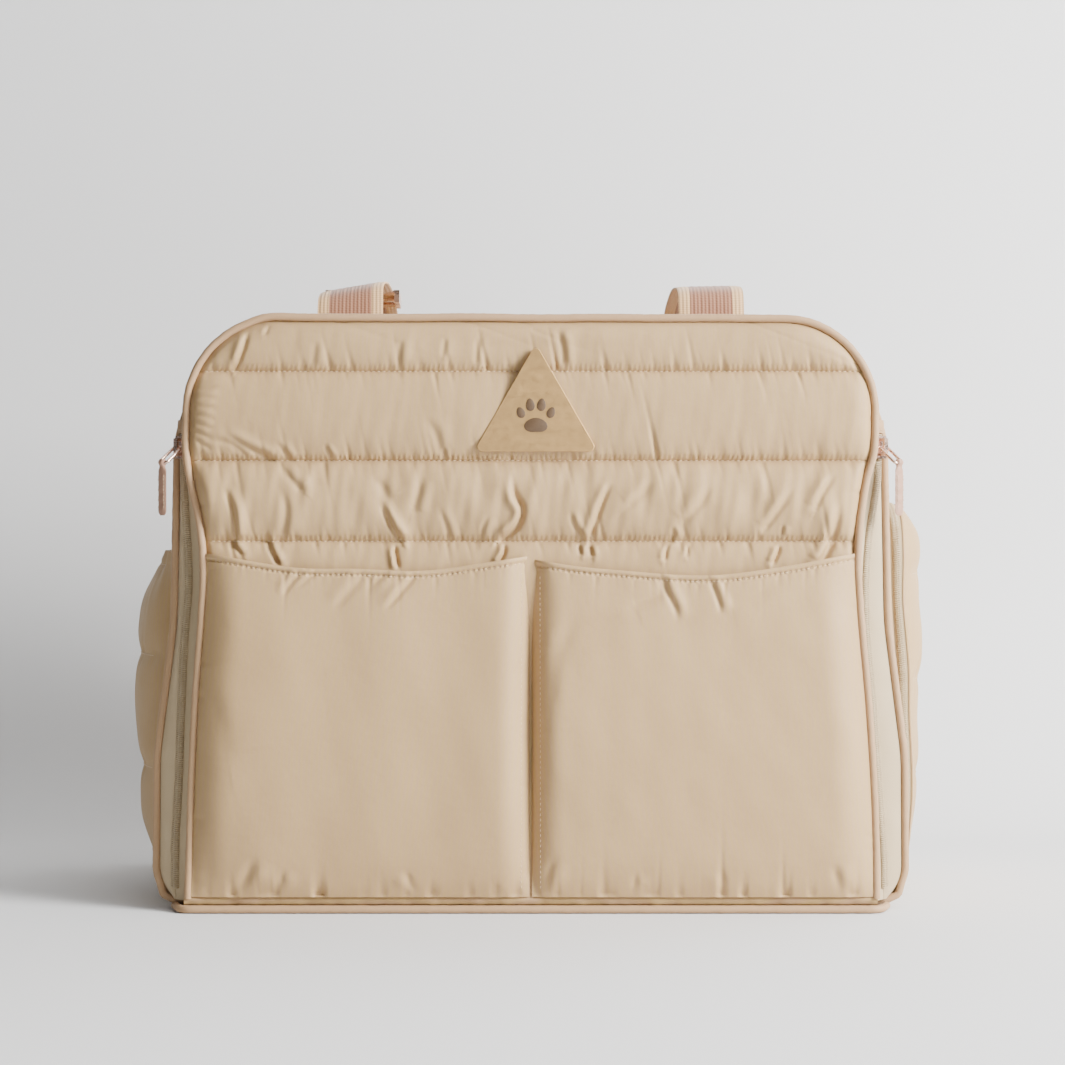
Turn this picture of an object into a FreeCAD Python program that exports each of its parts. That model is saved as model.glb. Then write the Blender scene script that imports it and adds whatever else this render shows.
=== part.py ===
import FreeCAD, Part
import math
import os

from FreeCAD import Vector

os.makedirs("parts", exist_ok=True)

# A soft-sided pet carrier bag. Millimetres, +Z up, -Y is the front, origin at the bottom centre.

# ---- body ---------------------------------------------------------------------
HEIGHT = 338.0  # top of the body shell
FOOT_HALF = 217.5  # half width where the sides would meet the floor
HIP_HALF, HIP_Z = 217.0, 88.0  # the sides stand almost upright to here, then draw in to the waist
WAIST_HALF, WAIST_Z = 207.2, 165.0
SHOULDER_HALF = 204.0  # half width where the sides would meet the top
FOOT_R = 25.0
SHOULDER_R = 80.0
FRONT_EDGE = -90.0  # front rim of the body shell
BACK_EDGE = 100.0  # back rim at the floor
BACK_LEAN = 2.4  # degrees that the back leans forward
PANEL = 3.0  # padded fabric wall
LINING = 1.0
BASE_Z = 26.0  # seam between base and sides
TOP_Z = 256.0  # seam between sides and top
BACK_THICK = 8.0
CORD_R = 2.3  # piping

# ---- front flap ---------------------------------------------------------------
FLAP_TOP = 342.0
FLAP_R = 56.0
# the flap's outer edge, from its shoulder down to the hem: (half width, height)
FLAP_SHOULDER = [(199.0, FLAP_TOP - FLAP_R), (198.5, 262.0), (194.6, 243.0), (191.2, 225.0), (189.6, 208.0)]
FLAP_SIDE = [(189.3, 188.0), (190.6, 168.0), (194.7, 117.0), (197.5, 67.0), (199.5, 8.0)]
FLAP_EDGE = FLAP_SHOULDER + FLAP_SIDE
FLAP_FRONT = -112.0
FLAP_BACK = -104.0
STIFF = 1.6
FLAP_LINING = 1.2
FLAP_SEAM = 4.9  # from the outer edge of the piping to the panel

# ---- zips ---------------------------------------------------------------------
CHAIN_X = 199.5
CHAIN_Y = -98.8
CHAIN_LOW = 12.0
FLAP_CHAIN_TOP = 258.0
BODY_CHAIN_TOP = 274.0
CHAIN_T = (0.745, 0.667)  # across the chain, from the flap to the body
COIL_W = 2.2
COIL_GAP = 1.2
COIL_H = 2.6
SLIDER_Z = 266.0
SLIDER_HALF_W = 4.5
SLIDER_BACK_HALF = 2.6  # narrower, so that the tapes can turn in behind it
SLIDER_LEN = 13.0
LINK_R = 0.9  # wire of the pull link
LINK_OUT = 4.15  # from the chain's middle out to the link
LINK_LEN = 15.0
LINK_HALF = 3.6
LINK_BEND = 1.6
LINK_TILT = math.radians(52.0)  # how far the link stands out from the chain at rest
TAB_LEN = 30.0
TAB_W = 7.0
TAB_T = 2.4

# ---- pockets ------------------------------------------------------------------
POCKET_MOUTH = 205.0
POCKET_DIP = 10.0
SIDE_POCKET_Z = 22.0
SIDE_POCKET_X = 217.7
SIDE_TILT = 3.1  # degrees, the pockets lean in with the wall
POCKET_ROOT = -4.0  # the pockets are made from here, then trimmed to the wall
POCKET_HIGH = 212.0  # the zipped pocket, from its foot
POCKET_FRONT = -70.0
POCKET_BACK = 74.0
POCKET_CHAIN = 8.4  # from the wall out to the pocket's chain
POCKET_SLIDE_Z = 44.0  # slider at rest, from the pocket's foot

# ---- shoulder strap -----------------------------------------------------------
STRAP_X = 105.0
STRAP_W = 38.0
STRAP_T = 2.0
STRAP_BAR = Vector(0, -84.0, 341.0)  # line on which the sewn ends bend
STRAP_KNEE = Vector(0, 109.0, 326.0)  # line on which the strap bends over the back


def save(node, shape):
    """Write one sub-part and say what it holds."""
    if shape.ShapeType == "Compound" and len(shape.Solids) == 1:
        shape = shape.Solids[0]
    print(f"{node:24s} solids {len(shape.Solids)}  valid {shape.isValid()}  {shape.Volume / 1000:8.2f} cm3")
    shape.exportStep(f"parts/{node}.step")


def mirrored(shape):
    return shape.mirror(Vector(0, 0, 0), Vector(1, 0, 0))


def box(low, high):
    """The block between two corners."""
    size = [b - a for a, b in zip(low, high)]
    return Part.makeBox(*size, Vector(*low))


def rounded(points, radii, closed=True):
    """A wire through points, with its corners rounded."""
    count = len(points)
    ends = []
    edges = []
    for i, point in enumerate(points):
        if not closed and i in (0, count - 1):
            ends.append((point, point))
            continue
        back = (points[i - 1] - point).normalize()
        on = (points[(i + 1) % count] - point).normalize()
        half = back.getAngle(on) / 2
        reach = radii[i] / math.tan(half)
        middle = point + (back + on).normalize() * (radii[i] / math.sin(half) - radii[i])
        start, end = point + back * reach, point + on * reach
        edges.append(Part.Arc(start, middle, end).toShape())
        ends.append((start, end))
    for i in range(count if closed else count - 1):
        a, b = ends[i][1], ends[(i + 1) % count][0]
        if a.distanceToPoint(b) > 0.001:
            edges.append(Part.LineSegment(a, b).toShape())
    return Part.Wire(Part.__sortEdges__(edges))


def slab(wire, way):
    """The solid swept by a flat closed wire along way."""
    return Part.Face(wire).extrude(way)


def tube(path, radius):
    """Round cord along a smooth wire."""
    start = path.Edges[0]
    point = start.valueAt(start.FirstParameter)
    way = start.tangentAt(start.FirstParameter)
    ring = Part.Wire([Part.Circle(point, way, radius).toShape()])
    return path.makePipeShell([ring], True, True)


# ---- body ---------------------------------------------------------------------


def body_corners(inset, y=0.0):
    """Corners of the body's outline, drawn in by inset, and their radii."""
    right = [
        (FOOT_HALF - inset, inset, FOOT_R - inset),
        (HIP_HALF - inset, HIP_Z, 120.0),
        (WAIST_HALF - inset, WAIST_Z, 150.0),
        (SHOULDER_HALF - inset, HEIGHT - inset, SHOULDER_R - inset),
    ]
    around = [(x, z, r) for x, z, r in right] + [(-x, z, r) for x, z, r in reversed(right)]
    return [Vector(x, y, z) for x, z, r in around], [r for x, z, r in around]


def body_wire(inset, y=0.0):
    return rounded(*body_corners(inset, y))


def lean_back(shape):
    """From an upright plane at y = 0 to the leaning plane of the bag's back."""
    shape = shape.copy()
    shape.rotate(Vector(0, 0, 0), Vector(1, 0, 0), BACK_LEAN)
    shape.translate(Vector(0, BACK_EDGE, 0))
    return shape


def body_ring(outer, inner):
    """A layer of the wall that goes round base, sides and top."""
    deep = Vector(0, 260.0, 0)
    ring = slab(body_wire(outer, FRONT_EDGE), deep).cut(slab(body_wire(inner, FRONT_EDGE), deep))
    beyond = lean_back(box((-400, 0, -100), (400, 400, 500)))
    return ring.cut(beyond)


def window(half, low, high, radius, thick):
    """A round-cornered window block in the XZ plane, from y = 0 back by thick."""
    corners = [Vector(-half, 0, low), Vector(half, 0, low), Vector(half, 0, high), Vector(-half, 0, high)]
    return slab(rounded(corners, [radius] * 4), Vector(0, thick, 0))


def flat_window(half, front, back, radius, low, thick):
    """A round-cornered window block lying flat, from z = low up by thick."""
    plan = [(-half, front), (half, front), (half, back), (-half, back)]
    return slab(rounded([Vector(x, y, low) for x, y in plan], [radius] * 4), Vector(0, 0, thick))


def make_body():
    wall = body_ring(0.0, PANEL)
    lining = body_ring(PANEL, PANEL + LINING)
    low = box((-400, -400, -10), (400, 400, BASE_Z))
    high = box((-400, -400, TOP_Z), (400, 400, 500))
    middle = box((0, -400, BASE_Z), (400, 400, TOP_Z))

    lip_corners = [(-203.0, FRONT_EDGE), (-193.0, -109.8), (193.0, -109.8), (203.0, FRONT_EDGE)]
    lip = Part.Wire(Part.makePolygon([Vector(x, y, 0) for x, y in lip_corners + lip_corners[:1]]))
    save("base_panel", wall.common(low).fuse(slab(lip, Vector(0, 0, PANEL))).removeSplitter())

    side = wall.common(middle)
    save("right_side_panel", side)
    save("left_side_panel", mirrored(side))

    mesh_hole = flat_window(66.0, -52.0, 58.0, 14.0, HEIGHT - 10.0, 20.0)
    save("top_panel", wall.common(high).cut(mesh_hole))
    save("cabin_lining", lining.cut(mesh_hole))
    save("top_mesh", flat_window(66.0, -52.0, 58.0, 14.0, HEIGHT - 2.2, 0.8))
    rim = flat_window(74.0, -60.0, 66.0, 20.0, HEIGHT, 1.2)
    save("top_mesh_binding", rim.cut(flat_window(66.0, -52.0, 58.0, 14.0, HEIGHT, 1.2)))

    hole = (120.0, 118.0, 250.0, 22.0)
    back = slab(body_wire(0.0), Vector(0, BACK_THICK, 0)).cut(window(*hole, BACK_THICK))
    save("back_panel", lean_back(back))
    behind = window(*hole, 1.0)
    behind.translate(Vector(0, 4.0, 0))
    save("back_mesh", lean_back(behind))
    rim = window(128.0, 110.0, 258.0, 28.0, 1.2).cut(window(*hole, 1.2))
    rim.translate(Vector(0, BACK_THICK, 0))
    save("back_mesh_binding", lean_back(rim))
    inner = slab(body_wire(PANEL + LINING + 0.4), Vector(0, 1.0, 0)).cut(window(*hole, 1.0))
    inner.translate(Vector(0, -1.0, 0))
    save("back_lining", lean_back(inner))
    loop = body_wire(CORD_R)
    loop.translate(Vector(0, BACK_THICK + CORD_R, 0))
    save("back_piping", lean_back(tube(loop, CORD_R)))

    board = flat_window(194.0, -86.0, 92.0, 12.0, PANEL + LINING + 0.2, 3.0)
    save("base_board", board)
    save("base_mat", flat_window(200.0, -84.0, 90.0, 14.0, PANEL + LINING + 3.4, 12.0))


def make_front_rim():
    """Piping round the body's front rim, binding along the foot and the stiff rail behind the flap."""
    corners, radii = body_corners(1.0, FRONT_EDGE - CORD_R - 0.2)
    # over the top from foot to foot; the foot corners end at the binding
    foot, knee = Vector(194.0, corners[0].y, 5.6), Vector(215.5, corners[0].y, 7.0)
    path = [foot, knee] + corners[1:7] + [Vector(-p.x, p.y, p.z) for p in (knee, foot)]
    turns = [0, 20.0] + radii[1:7] + [20.0, 0]
    save("body_piping", tube(rounded(path, turns, closed=False), CORD_R))

    z = CORD_R
    hem = [(-203.5, -98.0), (-199.5, FLAP_FRONT - 0.2), (199.5, FLAP_FRONT - 0.2), (203.5, -98.0)]
    path = rounded([Vector(x, y, z) for x, y in hem], [0, 8.0, 8.0, 0], closed=False)
    save("bottom_binding", tube(path, CORD_R))

    front, back = -99.0, FRONT_EDGE + 2.0
    rail = slab(body_wire(PANEL + LINING, front), Vector(0, back - front, 0))
    rail = rail.cut(slab(body_wire(24.0, front), Vector(0, back - front, 0)))
    rail = rail.common(box((-400, -200, 282.0), (400, 200, 400)))
    magnets = magnet_row(front, 1.6)
    save("front_rail", rail.cut(magnets))
    save("rail_magnets", magnets)


def magnet_row(y, thick):
    """Four thin disc magnets along the top of the opening."""
    spots = [Vector(x, y, 324.0) for x in (-130, -75, 75, 130)]
    return Part.makeCompound([Part.makeCylinder(8.0, thick, spot, Vector(0, 1, 0)) for spot in spots])


# ---- front flap ---------------------------------------------------------------


def flap_edge(inset, y):
    """The right-hand edge of the flap, top to bottom, drawn in by inset."""
    curve = Part.BSplineCurve()
    curve.interpolate([Vector(half - inset, y, z) for half, z in FLAP_EDGE])
    return curve.toShape()


def flap_shoulder(inset, y):
    """The arc from the flap's top edge down to the right-hand edge."""
    centre_x, centre_z = FLAP_EDGE[0][0] - FLAP_R, FLAP_EDGE[0][1]
    radius = FLAP_R - inset
    ways = [math.radians(a) for a in (90, 45, 0)]
    points = [Vector(centre_x + radius * math.cos(a), y, centre_z + radius * math.sin(a)) for a in ways]
    return Part.Arc(*points).toShape()


def flap_path(inset, y):
    """The flap's edge from the left hem over the top to the right hem."""
    right = [flap_edge(inset, y), flap_shoulder(inset, y)]
    left = [mirrored(edge) for edge in right]
    top = right[1].BoundBox.ZMax
    span = FLAP_EDGE[0][0] - FLAP_R
    bar = Part.LineSegment(Vector(-span, y, top), Vector(span, y, top)).toShape()
    return Part.Wire(Part.__sortEdges__(left + [bar] + right))


def flap_layer(inset, front, thick):
    path = flap_path(inset, front)
    half, low = FLAP_EDGE[-1][0] - inset, FLAP_EDGE[-1][1]
    hem = Part.LineSegment(Vector(-half, front, low), Vector(half, front, low)).toShape()
    return slab(Part.Wire(Part.__sortEdges__(path.Edges + [hem])), Vector(0, thick, 0))


def front_pocket():
    """The right-hand pouch on the flap: open at its mouth and towards the flap."""
    y = FLAP_FRONT - 0.1
    outside = [(y, 9.0), (-114.0, 9.0), (-121.0, 45.0), (-124.0, 110.0), (-121.5, 215.0), (y, 215.0)]
    inside = [(y + 1, 14.0), (-114.2, 14.0), (-118.0, 47.0), (-121.0, 110.0), (-118.5, 220.0), (y + 1, 220.0)]

    def pouch(profile, start, end):
        wire = Part.makePolygon([Vector(start, a, b) for a, b in profile + profile[:1]])
        return slab(wire, Vector(end - start, 0, 0))

    shape = pouch(outside, 0.4, 200.0).common(flap_layer(3.5, -140.0, 40.0))
    shape = shape.cut(pouch(inside, 3.5, 200.0).common(flap_layer(7.5, -140.0, 40.0)))
    dip = [(0, POCKET_MOUTH), (93, POCKET_MOUTH - POCKET_DIP), (190, POCKET_MOUTH)]
    ends = [Vector(x, -140, z) for x, z in dip]
    above = [Vector(190, -140, 260), Vector(0, -140, 260)]
    rim = Part.Arc(*ends).toShape()
    sides = [
        Part.LineSegment(ends[2], above[0]).toShape(),
        Part.LineSegment(above[0], above[1]).toShape(),
        Part.LineSegment(above[1], ends[0]).toShape(),
    ]
    return shape.cut(slab(Part.Wire([rim] + sides), Vector(0, 60, 0)))


def badge_wire(y):
    corners = [Vector(-30.8, y, 263.3), Vector(36.6, y, 263.3), Vector(2.9, y, 323.0)]
    return rounded(corners, [4.5] * 3)


def make_flap():
    pins = [(-18.0, 269.0), (24.0, 269.0), (2.9, 305.0)]

    def pin_row(radius, front, back):
        spots = [Vector(x, front, z) for x, z in pins]
        way = Vector(0, 1, 0)
        return Part.makeCompound([Part.makeCylinder(radius, back - front, spot, way) for spot in spots])

    lining_y = FLAP_BACK + STIFF
    holes = pin_row(1.3, -130, lining_y)
    save("flap_panel", flap_layer(FLAP_SEAM, FLAP_FRONT, FLAP_BACK - FLAP_FRONT).cut(holes))
    magnets = magnet_row(FLAP_BACK, STIFF)
    backing = [Vector(-24, FLAP_BACK, 263), Vector(30, FLAP_BACK, 263), Vector(2.9, FLAP_BACK, 315)]
    plate = slab(rounded(backing, [4.0] * 3), Vector(0, STIFF, 0))
    stiff = flap_layer(FLAP_SEAM + 5.0, FLAP_BACK, STIFF)
    save("flap_stiffener", stiff.cut(magnets).cut(plate))
    save("flap_magnets", magnets)
    save("flap_lining", flap_layer(FLAP_SEAM + 1.0, lining_y, FLAP_LINING))
    save("flap_piping", tube(flap_path(CORD_R, FLAP_FRONT + CORD_R), CORD_R))
    badge = slab(badge_wire(-116.4), Vector(0, 1.6, 0)).fuse(pin_row(1.2, -115.0, FLAP_BACK))
    save("badge_plate", badge)
    save("badge_backing", plate)
    pouch = front_pocket()
    save("right_front_pocket", pouch)
    save("left_front_pocket", mirrored(pouch))


# ---- main zips ----------------------------------------------------------------


def across(distance, out=0.0):
    """A point of the right-hand chain's section: distance towards the body, out from its face."""
    tx, ty = CHAIN_T
    return Vector(CHAIN_X + tx * distance + ty * out, CHAIN_Y + ty * distance - tx * out, 0)


def section_bar(place, start, end, near, far, low, high):
    """An upright bar of a chain's section. place turns distances across and out into a point."""
    corners = [place(start, near), place(end, near), place(end, far), place(start, far)]
    wire = Part.makePolygon([c + Vector(0, 0, low) for c in corners + corners[:1]])
    return slab(wire, Vector(0, 0, high - low))


def ruled(first, second, way):
    """A thin strip of tape between two edges."""
    return Part.makeRuledSurface(first, second).extrude(way)


def main_zip():
    """The right-hand main zip as {name: shape}."""
    half_gap = COIL_GAP / 2
    inward = across(0, -1.0) - across(0, 0)
    edge = Part.Wire([flap_edge(3.0, -106.2)])
    trim = box((0, -200, CHAIN_LOW), (400, 0, FLAP_CHAIN_TOP))
    near = across(-COIL_W - half_gap - 0.1, -0.8)
    low, high = FLAP_EDGE[-1][1], FLAP_EDGE[0][1]
    line = Part.Wire([Part.LineSegment(near + Vector(0, 0, high), near + Vector(0, 0, low)).toShape()])
    flap_tape = ruled(edge.Edges[0], line.Edges[0], inward).common(trim)

    far = across(COIL_W + half_gap + 0.1, -0.8)
    seam = [(FOOT_HALF, 24.0), (HIP_HALF, HIP_Z), (WAIST_HALF, WAIST_Z), (SHOULDER_HALF, BODY_CHAIN_TOP)]
    strips = []
    for (low_half, low), (high_half, high) in zip(seam[:-1], seam[1:]):
        inner = Part.LineSegment(far + Vector(0, 0, low), far + Vector(0, 0, high)).toShape()
        ends = Vector(low_half - 5.9, -92.0, low), Vector(high_half - 5.9, -92.0, high)
        strips.append(ruled(inner, Part.LineSegment(*ends).toShape(), inward))
    coils = (-COIL_H / 2, COIL_H / 2)
    end_tab = section_bar(across, -3.5, 3.8, -1.6, 1.6, BODY_CHAIN_TOP + 0.3, BODY_CHAIN_TOP + 7.7)
    return {
        "flap_tape": flap_tape,
        "flap_coil": section_bar(across, -half_gap - COIL_W, -half_gap, *coils, CHAIN_LOW, FLAP_CHAIN_TOP),
        "body_tape": strips[0].fuse(strips[1:]).removeSplitter(),
        "body_coil": section_bar(across, half_gap, half_gap + COIL_W, *coils, CHAIN_LOW, BODY_CHAIN_TOP),
        "zip_end_tab": end_tab,
    }


def slider_shape(place, height):
    """A zip slider: two plates joined by a thin post, with a bridge for the pull."""
    low, high = height - SLIDER_LEN / 2, height + SLIDER_LEN / 2
    front = section_bar(place, -SLIDER_HALF_W, SLIDER_HALF_W, 1.6, 2.9, low, high)
    back = section_bar(place, -SLIDER_BACK_HALF, SLIDER_BACK_HALF, -2.9, -1.6, low, high)
    post = section_bar(place, -0.5, 0.5, -1.7, 1.7, high - 5.0, high)
    bridge = section_bar(place, -1.6, 1.6, 2.8, 6.6, low + 1.5, high - 1.5)
    gap = section_bar(place, -2.0, 2.0, 2.9, 5.4, low + 3.1, high - 3.1)
    return front.fuse([back, post, bridge.cut(gap)]).removeSplitter()


def link_end(height):
    """How far out the middle of the link's lower bar is, and its height."""
    return LINK_OUT + LINK_LEN * math.sin(LINK_TILT), height - LINK_LEN * math.cos(LINK_TILT)


def link_shape(place, height):
    """A closed wire loop through the slider's bridge, standing out as it hangs."""
    low_out, low = link_end(height)

    def point(side, out, z):
        return place(side, out) + Vector(0, 0, z)

    bars = [(LINK_HALF, LINK_OUT, height), (LINK_HALF, low_out, low), (-LINK_HALF, low_out, low)]
    bars.append((-LINK_HALF, LINK_OUT, height))
    middle = point(0, LINK_OUT, height)
    route = [middle] + [point(*bar) for bar in bars] + [middle]
    return tube(rounded(route, [0] + [LINK_BEND] * 4 + [0], closed=False), LINK_R)


def tab_shape(place, height):
    """The pull: a folded strap tab that hangs from the link's lower bar."""
    middle, pivot = link_end(height)
    inner_half = LINK_HALF - LINK_R - 0.35
    near, far = middle - TAB_T / 2, middle + TAB_T / 2
    axis = place(1, middle) - place(0, middle)
    start = place(-inner_half, middle) + Vector(0, 0, pivot)
    eye = Part.makeCylinder(LINK_R + 1.2, 2 * inner_half, start, axis)
    hole = Part.makeCylinder(LINK_R + 0.06, 20, start - axis * 5, axis)
    half = TAB_W / 2
    neck = section_bar(place, -inner_half, inner_half, near, far, pivot - 6.0, pivot - 0.9)
    blade = section_bar(place, -half, half, near, far, pivot - TAB_LEN, pivot - 5.0)
    return eye.fuse([neck, blade]).cut(hole).removeSplitter()


def make_main_zips():
    for name, shape in main_zip().items():
        save(f"right_{name}", shape)
        save(f"left_{name}", mirrored(shape))
    pieces = {"slider": slider_shape, "pull_link": link_shape, "pull_tab": tab_shape}
    for name, build in pieces.items():
        shape = build(across, SLIDER_Z)
        save(f"right_{name}", shape)
        save(f"left_{name}", mirrored(shape))


# ---- side pockets -------------------------------------------------------------


def on_side(shape):
    """From an upright frame whose x = 0 is the wall to the right-hand wall's slope."""
    shape = shape.copy()
    shape.rotate(Vector(0, 0, 0), Vector(0, 1, 0), -SIDE_TILT)
    shape.translate(Vector(SIDE_POCKET_X, 0, SIDE_POCKET_Z))
    return shape


def clear_of_wall(shape):
    """What stands outside the bag's side wall."""
    return shape.cut(slab(body_wire(0.0, FRONT_EDGE), Vector(0, 200.0, 0)))


def bulge_section(front, back, bulge, z):
    """A flat-backed bow in plan, standing out from the wall by bulge."""
    root, middle = POCKET_ROOT, (front + back) / 2
    bow = Part.Arc(Vector(root, front, z), Vector(bulge, middle, z), Vector(root, back, z)).toShape()
    chord = Part.LineSegment(Vector(root, back, z), Vector(root, front, z)).toShape()
    return Part.Wire([bow, chord])


def make_left_pocket():
    # standing out at each height above the pocket's foot
    rows = [(0.0, 15.0), (40.0, 25.0), (95.0, 30.0), (145.0, 28.0), (184.0, 16.0)]
    front, back, wall = -74.0, 78.0, 3.5
    outer = Part.makeLoft([bulge_section(front, back, b, z) for z, b in rows], True, False)
    rows_in = [(4.0, 12.4)] + [(z, b - wall) for z, b in rows[1:-1]] + [(185.0, 12.2)]
    inner = Part.makeLoft([bulge_section(front + 9, back - 9, b, z) for z, b in rows_in], True, False)
    shell = outer.cut(inner)
    mouth = box((-5, -200, 176.0), (80, 200, 300))
    save("left_slip_pocket", mirrored(clear_of_wall(on_side(shell.cut(mouth)))))
    save("left_pocket_elastic", mirrored(clear_of_wall(on_side(shell.common(mouth)))))


def pocket_ring(inset, thick, start, end, low):
    """A band round the pocket's outline, from start to end out from the wall, above low."""

    def outline(draw):
        corners = [
            Vector(start, POCKET_FRONT + draw, draw),
            Vector(start, POCKET_BACK - draw, draw),
            Vector(start, POCKET_BACK - draw, POCKET_HIGH - draw),
            Vector(start, POCKET_FRONT + draw, POCKET_HIGH - draw),
        ]
        return rounded(corners, [14.0 - draw / 2, 14.0 - draw / 2, 32.0 - draw / 2, 32.0 - draw / 2])

    way = Vector(end - start, 0, 0)
    ring = slab(outline(inset), way)
    if thick:
        ring = ring.cut(slab(outline(inset + thick), way))
    return ring.common(box((-10, -200, low), (100, 200, 300)))


def pocket_across(distance, out=0.0):
    """The pocket chain's section on its back run: across is away from the wall, out is backwards."""
    return Vector(POCKET_CHAIN + distance, POCKET_BACK - 1.0 + out, 0)


def make_right_pocket():
    half_gap = COIL_GAP / 2
    near = POCKET_CHAIN - half_gap - COIL_W
    far = POCKET_CHAIN + half_gap + COIL_W
    low = 16.0
    park = box((-10, 40, 0), (100, 120, POCKET_SLIDE_Z + SLIDER_LEN / 2 + 1.0))
    gusset = on_side(pocket_ring(0.0, 3.0, POCKET_ROOT, near - 2.2, 0.0))
    save("right_pocket_gusset", clear_of_wall(gusset))
    save("pocket_inner_tape", on_side(pocket_ring(0.4, 1.0, near - 2.1, near - 0.1, low)))
    save("pocket_inner_coil", on_side(pocket_ring(0.0, 2.0, near, near + COIL_W, low)))
    save("pocket_outer_coil", on_side(pocket_ring(0.0, 2.0, far - COIL_W, far, low).cut(park)))
    save("pocket_outer_tape", on_side(pocket_ring(0.4, 1.0, far + 0.1, far + 2.1, low).cut(park)))

    start = far + 2.2
    base = pocket_ring(0.0, 0.0, start, start + 4.0, 2.0)
    middle = (POCKET_FRONT + POCKET_BACK) / 2
    dome = Part.makeSphere(1.0, Vector(0, 0, 0))
    stretch = FreeCAD.Matrix()
    stretch.scale(Vector(13.0, 104.0, 148.0))
    dome = dome.transformGeometry(stretch)
    dome.translate(Vector(start + 1.0, middle, POCKET_HIGH / 2))
    rim = pocket_ring(0.0, 0.0, start, start + 30.0, 2.0)
    shape = base.fuse(dome.common(rim))
    hollow = pocket_ring(3.0, 0.0, start - 1.0, start + 1.5, 5.0)
    smaller = FreeCAD.Matrix()
    smaller.scale(Vector(10.0, 96.0, 138.0))
    cave = Part.makeSphere(1.0, Vector(0, 0, 0)).transformGeometry(smaller)
    cave.translate(Vector(start + 1.0, middle, POCKET_HIGH / 2))
    cave = cave.common(pocket_ring(3.0, 0.0, start, start + 30.0, 5.0))
    keep_out = park.common(box((-10, 60, 0), (start + 0.6, 120, 100)))
    save("right_zip_pocket", on_side(shape.cut(hollow).cut(cave).cut(keep_out)))

    pieces = {"slider": slider_shape, "pull_link": link_shape, "pull_tab": tab_shape}
    for name, build in pieces.items():
        save(f"pocket_{name}", on_side(build(pocket_across, POCKET_SLIDE_Z)))


# ---- shoulder strap -----------------------------------------------------------


def webbing(path):
    """Flat webbing along a wire in the YZ plane, centred on x = 0."""
    edge = path.Edges[0]
    point = edge.valueAt(edge.FirstParameter)
    way = edge.tangentAt(edge.FirstParameter)
    side = Vector(1, 0, 0) * (STRAP_W / 2)
    up = way.cross(Vector(1, 0, 0)).normalize() * (STRAP_T / 2)
    corners = [point - side - up, point + side - up, point + side + up, point - side + up]
    section = Part.makePolygon(corners + corners[:1])
    return path.makePipeShell([section], True, False)


def strap_section(spot, along, flat):
    """A rectangle of webbing at spot: along is its way, flat the normal of its face."""
    wide = along.cross(flat).normalize() * (STRAP_W / 2)
    thick = flat.normalize() * (STRAP_T / 2)
    corners = [spot - wide - thick, spot + wide - thick, spot + wide + thick, spot - wide + thick]
    return Part.makePolygon(corners + corners[:1])


def make_strap():
    sewn = (STRAP_BAR.y, STRAP_BAR.z + 1.4)
    crest = Vector(0, -4.0, 366.0)
    arch = [sewn, (-79.0, 357.5), (crest.y, crest.z), (80.0, 358.0), (104.0, 334.0)]
    path = rounded([Vector(0, y, z) for y, z in arch], [0, 15.0, 90.0, 30.0, 0], closed=False)
    leg = webbing(path)
    leg.translate(Vector(STRAP_X, 0, 0))
    save("right_strap_arch", leg)
    save("left_strap_arch", mirrored(leg))

    patch = box((STRAP_X - 21, -87.0, HEIGHT), (STRAP_X + 21, -64.0, HEIGHT + 1.5))
    save("right_strap_patch", patch)
    save("left_strap_patch", mirrored(patch))

    # the drop behind the bag: flat legs that turn edge-on and close in a loop
    loop_r, loop_y, loop_z = 58.0, 134.0, 150.0
    top = STRAP_KNEE.z - 2.0
    sections = []
    steps = 6
    for i in range(steps + 1):
        t = i / steps
        ease = t * t * (3 - 2 * t)
        x = STRAP_X + (loop_r - STRAP_X) * ease
        y = STRAP_KNEE.y + 4.0 + (loop_y - STRAP_KNEE.y - 4.0) * ease
        turn = math.radians(90.0 * max(0.0, (t - 0.25) / 0.75) ** 1.2)
        flat = Vector(math.sin(turn), -math.cos(turn), 0)
        sections.append(strap_section(Vector(x, y, top + (loop_z - top) * t), Vector(0, 0, -1), flat))
    for i in range(1, 7):
        a = math.radians(15.0 * i)
        spot = Vector(loop_r * math.cos(a), loop_y, loop_z - loop_r * math.sin(a))
        along = Vector(-math.sin(a), 0, -math.cos(a))
        sections.append(strap_section(spot, along, Vector(math.cos(a), 0, -math.sin(a))))
    half = Part.makeLoft(sections, True, True)
    save("strap_loop", half.fuse(mirrored(half)).removeSplitter())

    # three bars and two cheeks, threaded over and under the webbing
    slope = math.degrees(math.atan2(358.0 - crest.z, 80.0 - crest.y))
    reach = STRAP_W / 2 + 1.2
    bars = []
    for y, z in ((-9.5, 2.9), (0.0, -2.9), (9.5, 2.9)):
        bars.append(Part.makeCylinder(1.7, 2 * reach, Vector(-reach, y, z), Vector(1, 0, 0)))
    cheek_x = reach + 1.2
    cheeks = [box((x - 1.6, -11.2, -3.2), (x + 1.6, 11.2, 4.4)) for x in (-cheek_x, cheek_x)]
    frame = bars[0].fuse(bars[1:] + cheeks).removeSplitter()
    frame.rotate(Vector(0, 0, 0), Vector(1, 0, 0), slope)
    frame.translate(Vector(-STRAP_X, 30.0, crest.z + (30.0 - crest.y) * math.tan(math.radians(slope))))
    save("strap_adjuster", frame)


make_body()
make_front_rim()
make_flap()
make_main_zips()
make_left_pocket()
make_right_pocket()
make_strap()
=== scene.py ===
import math

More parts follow.
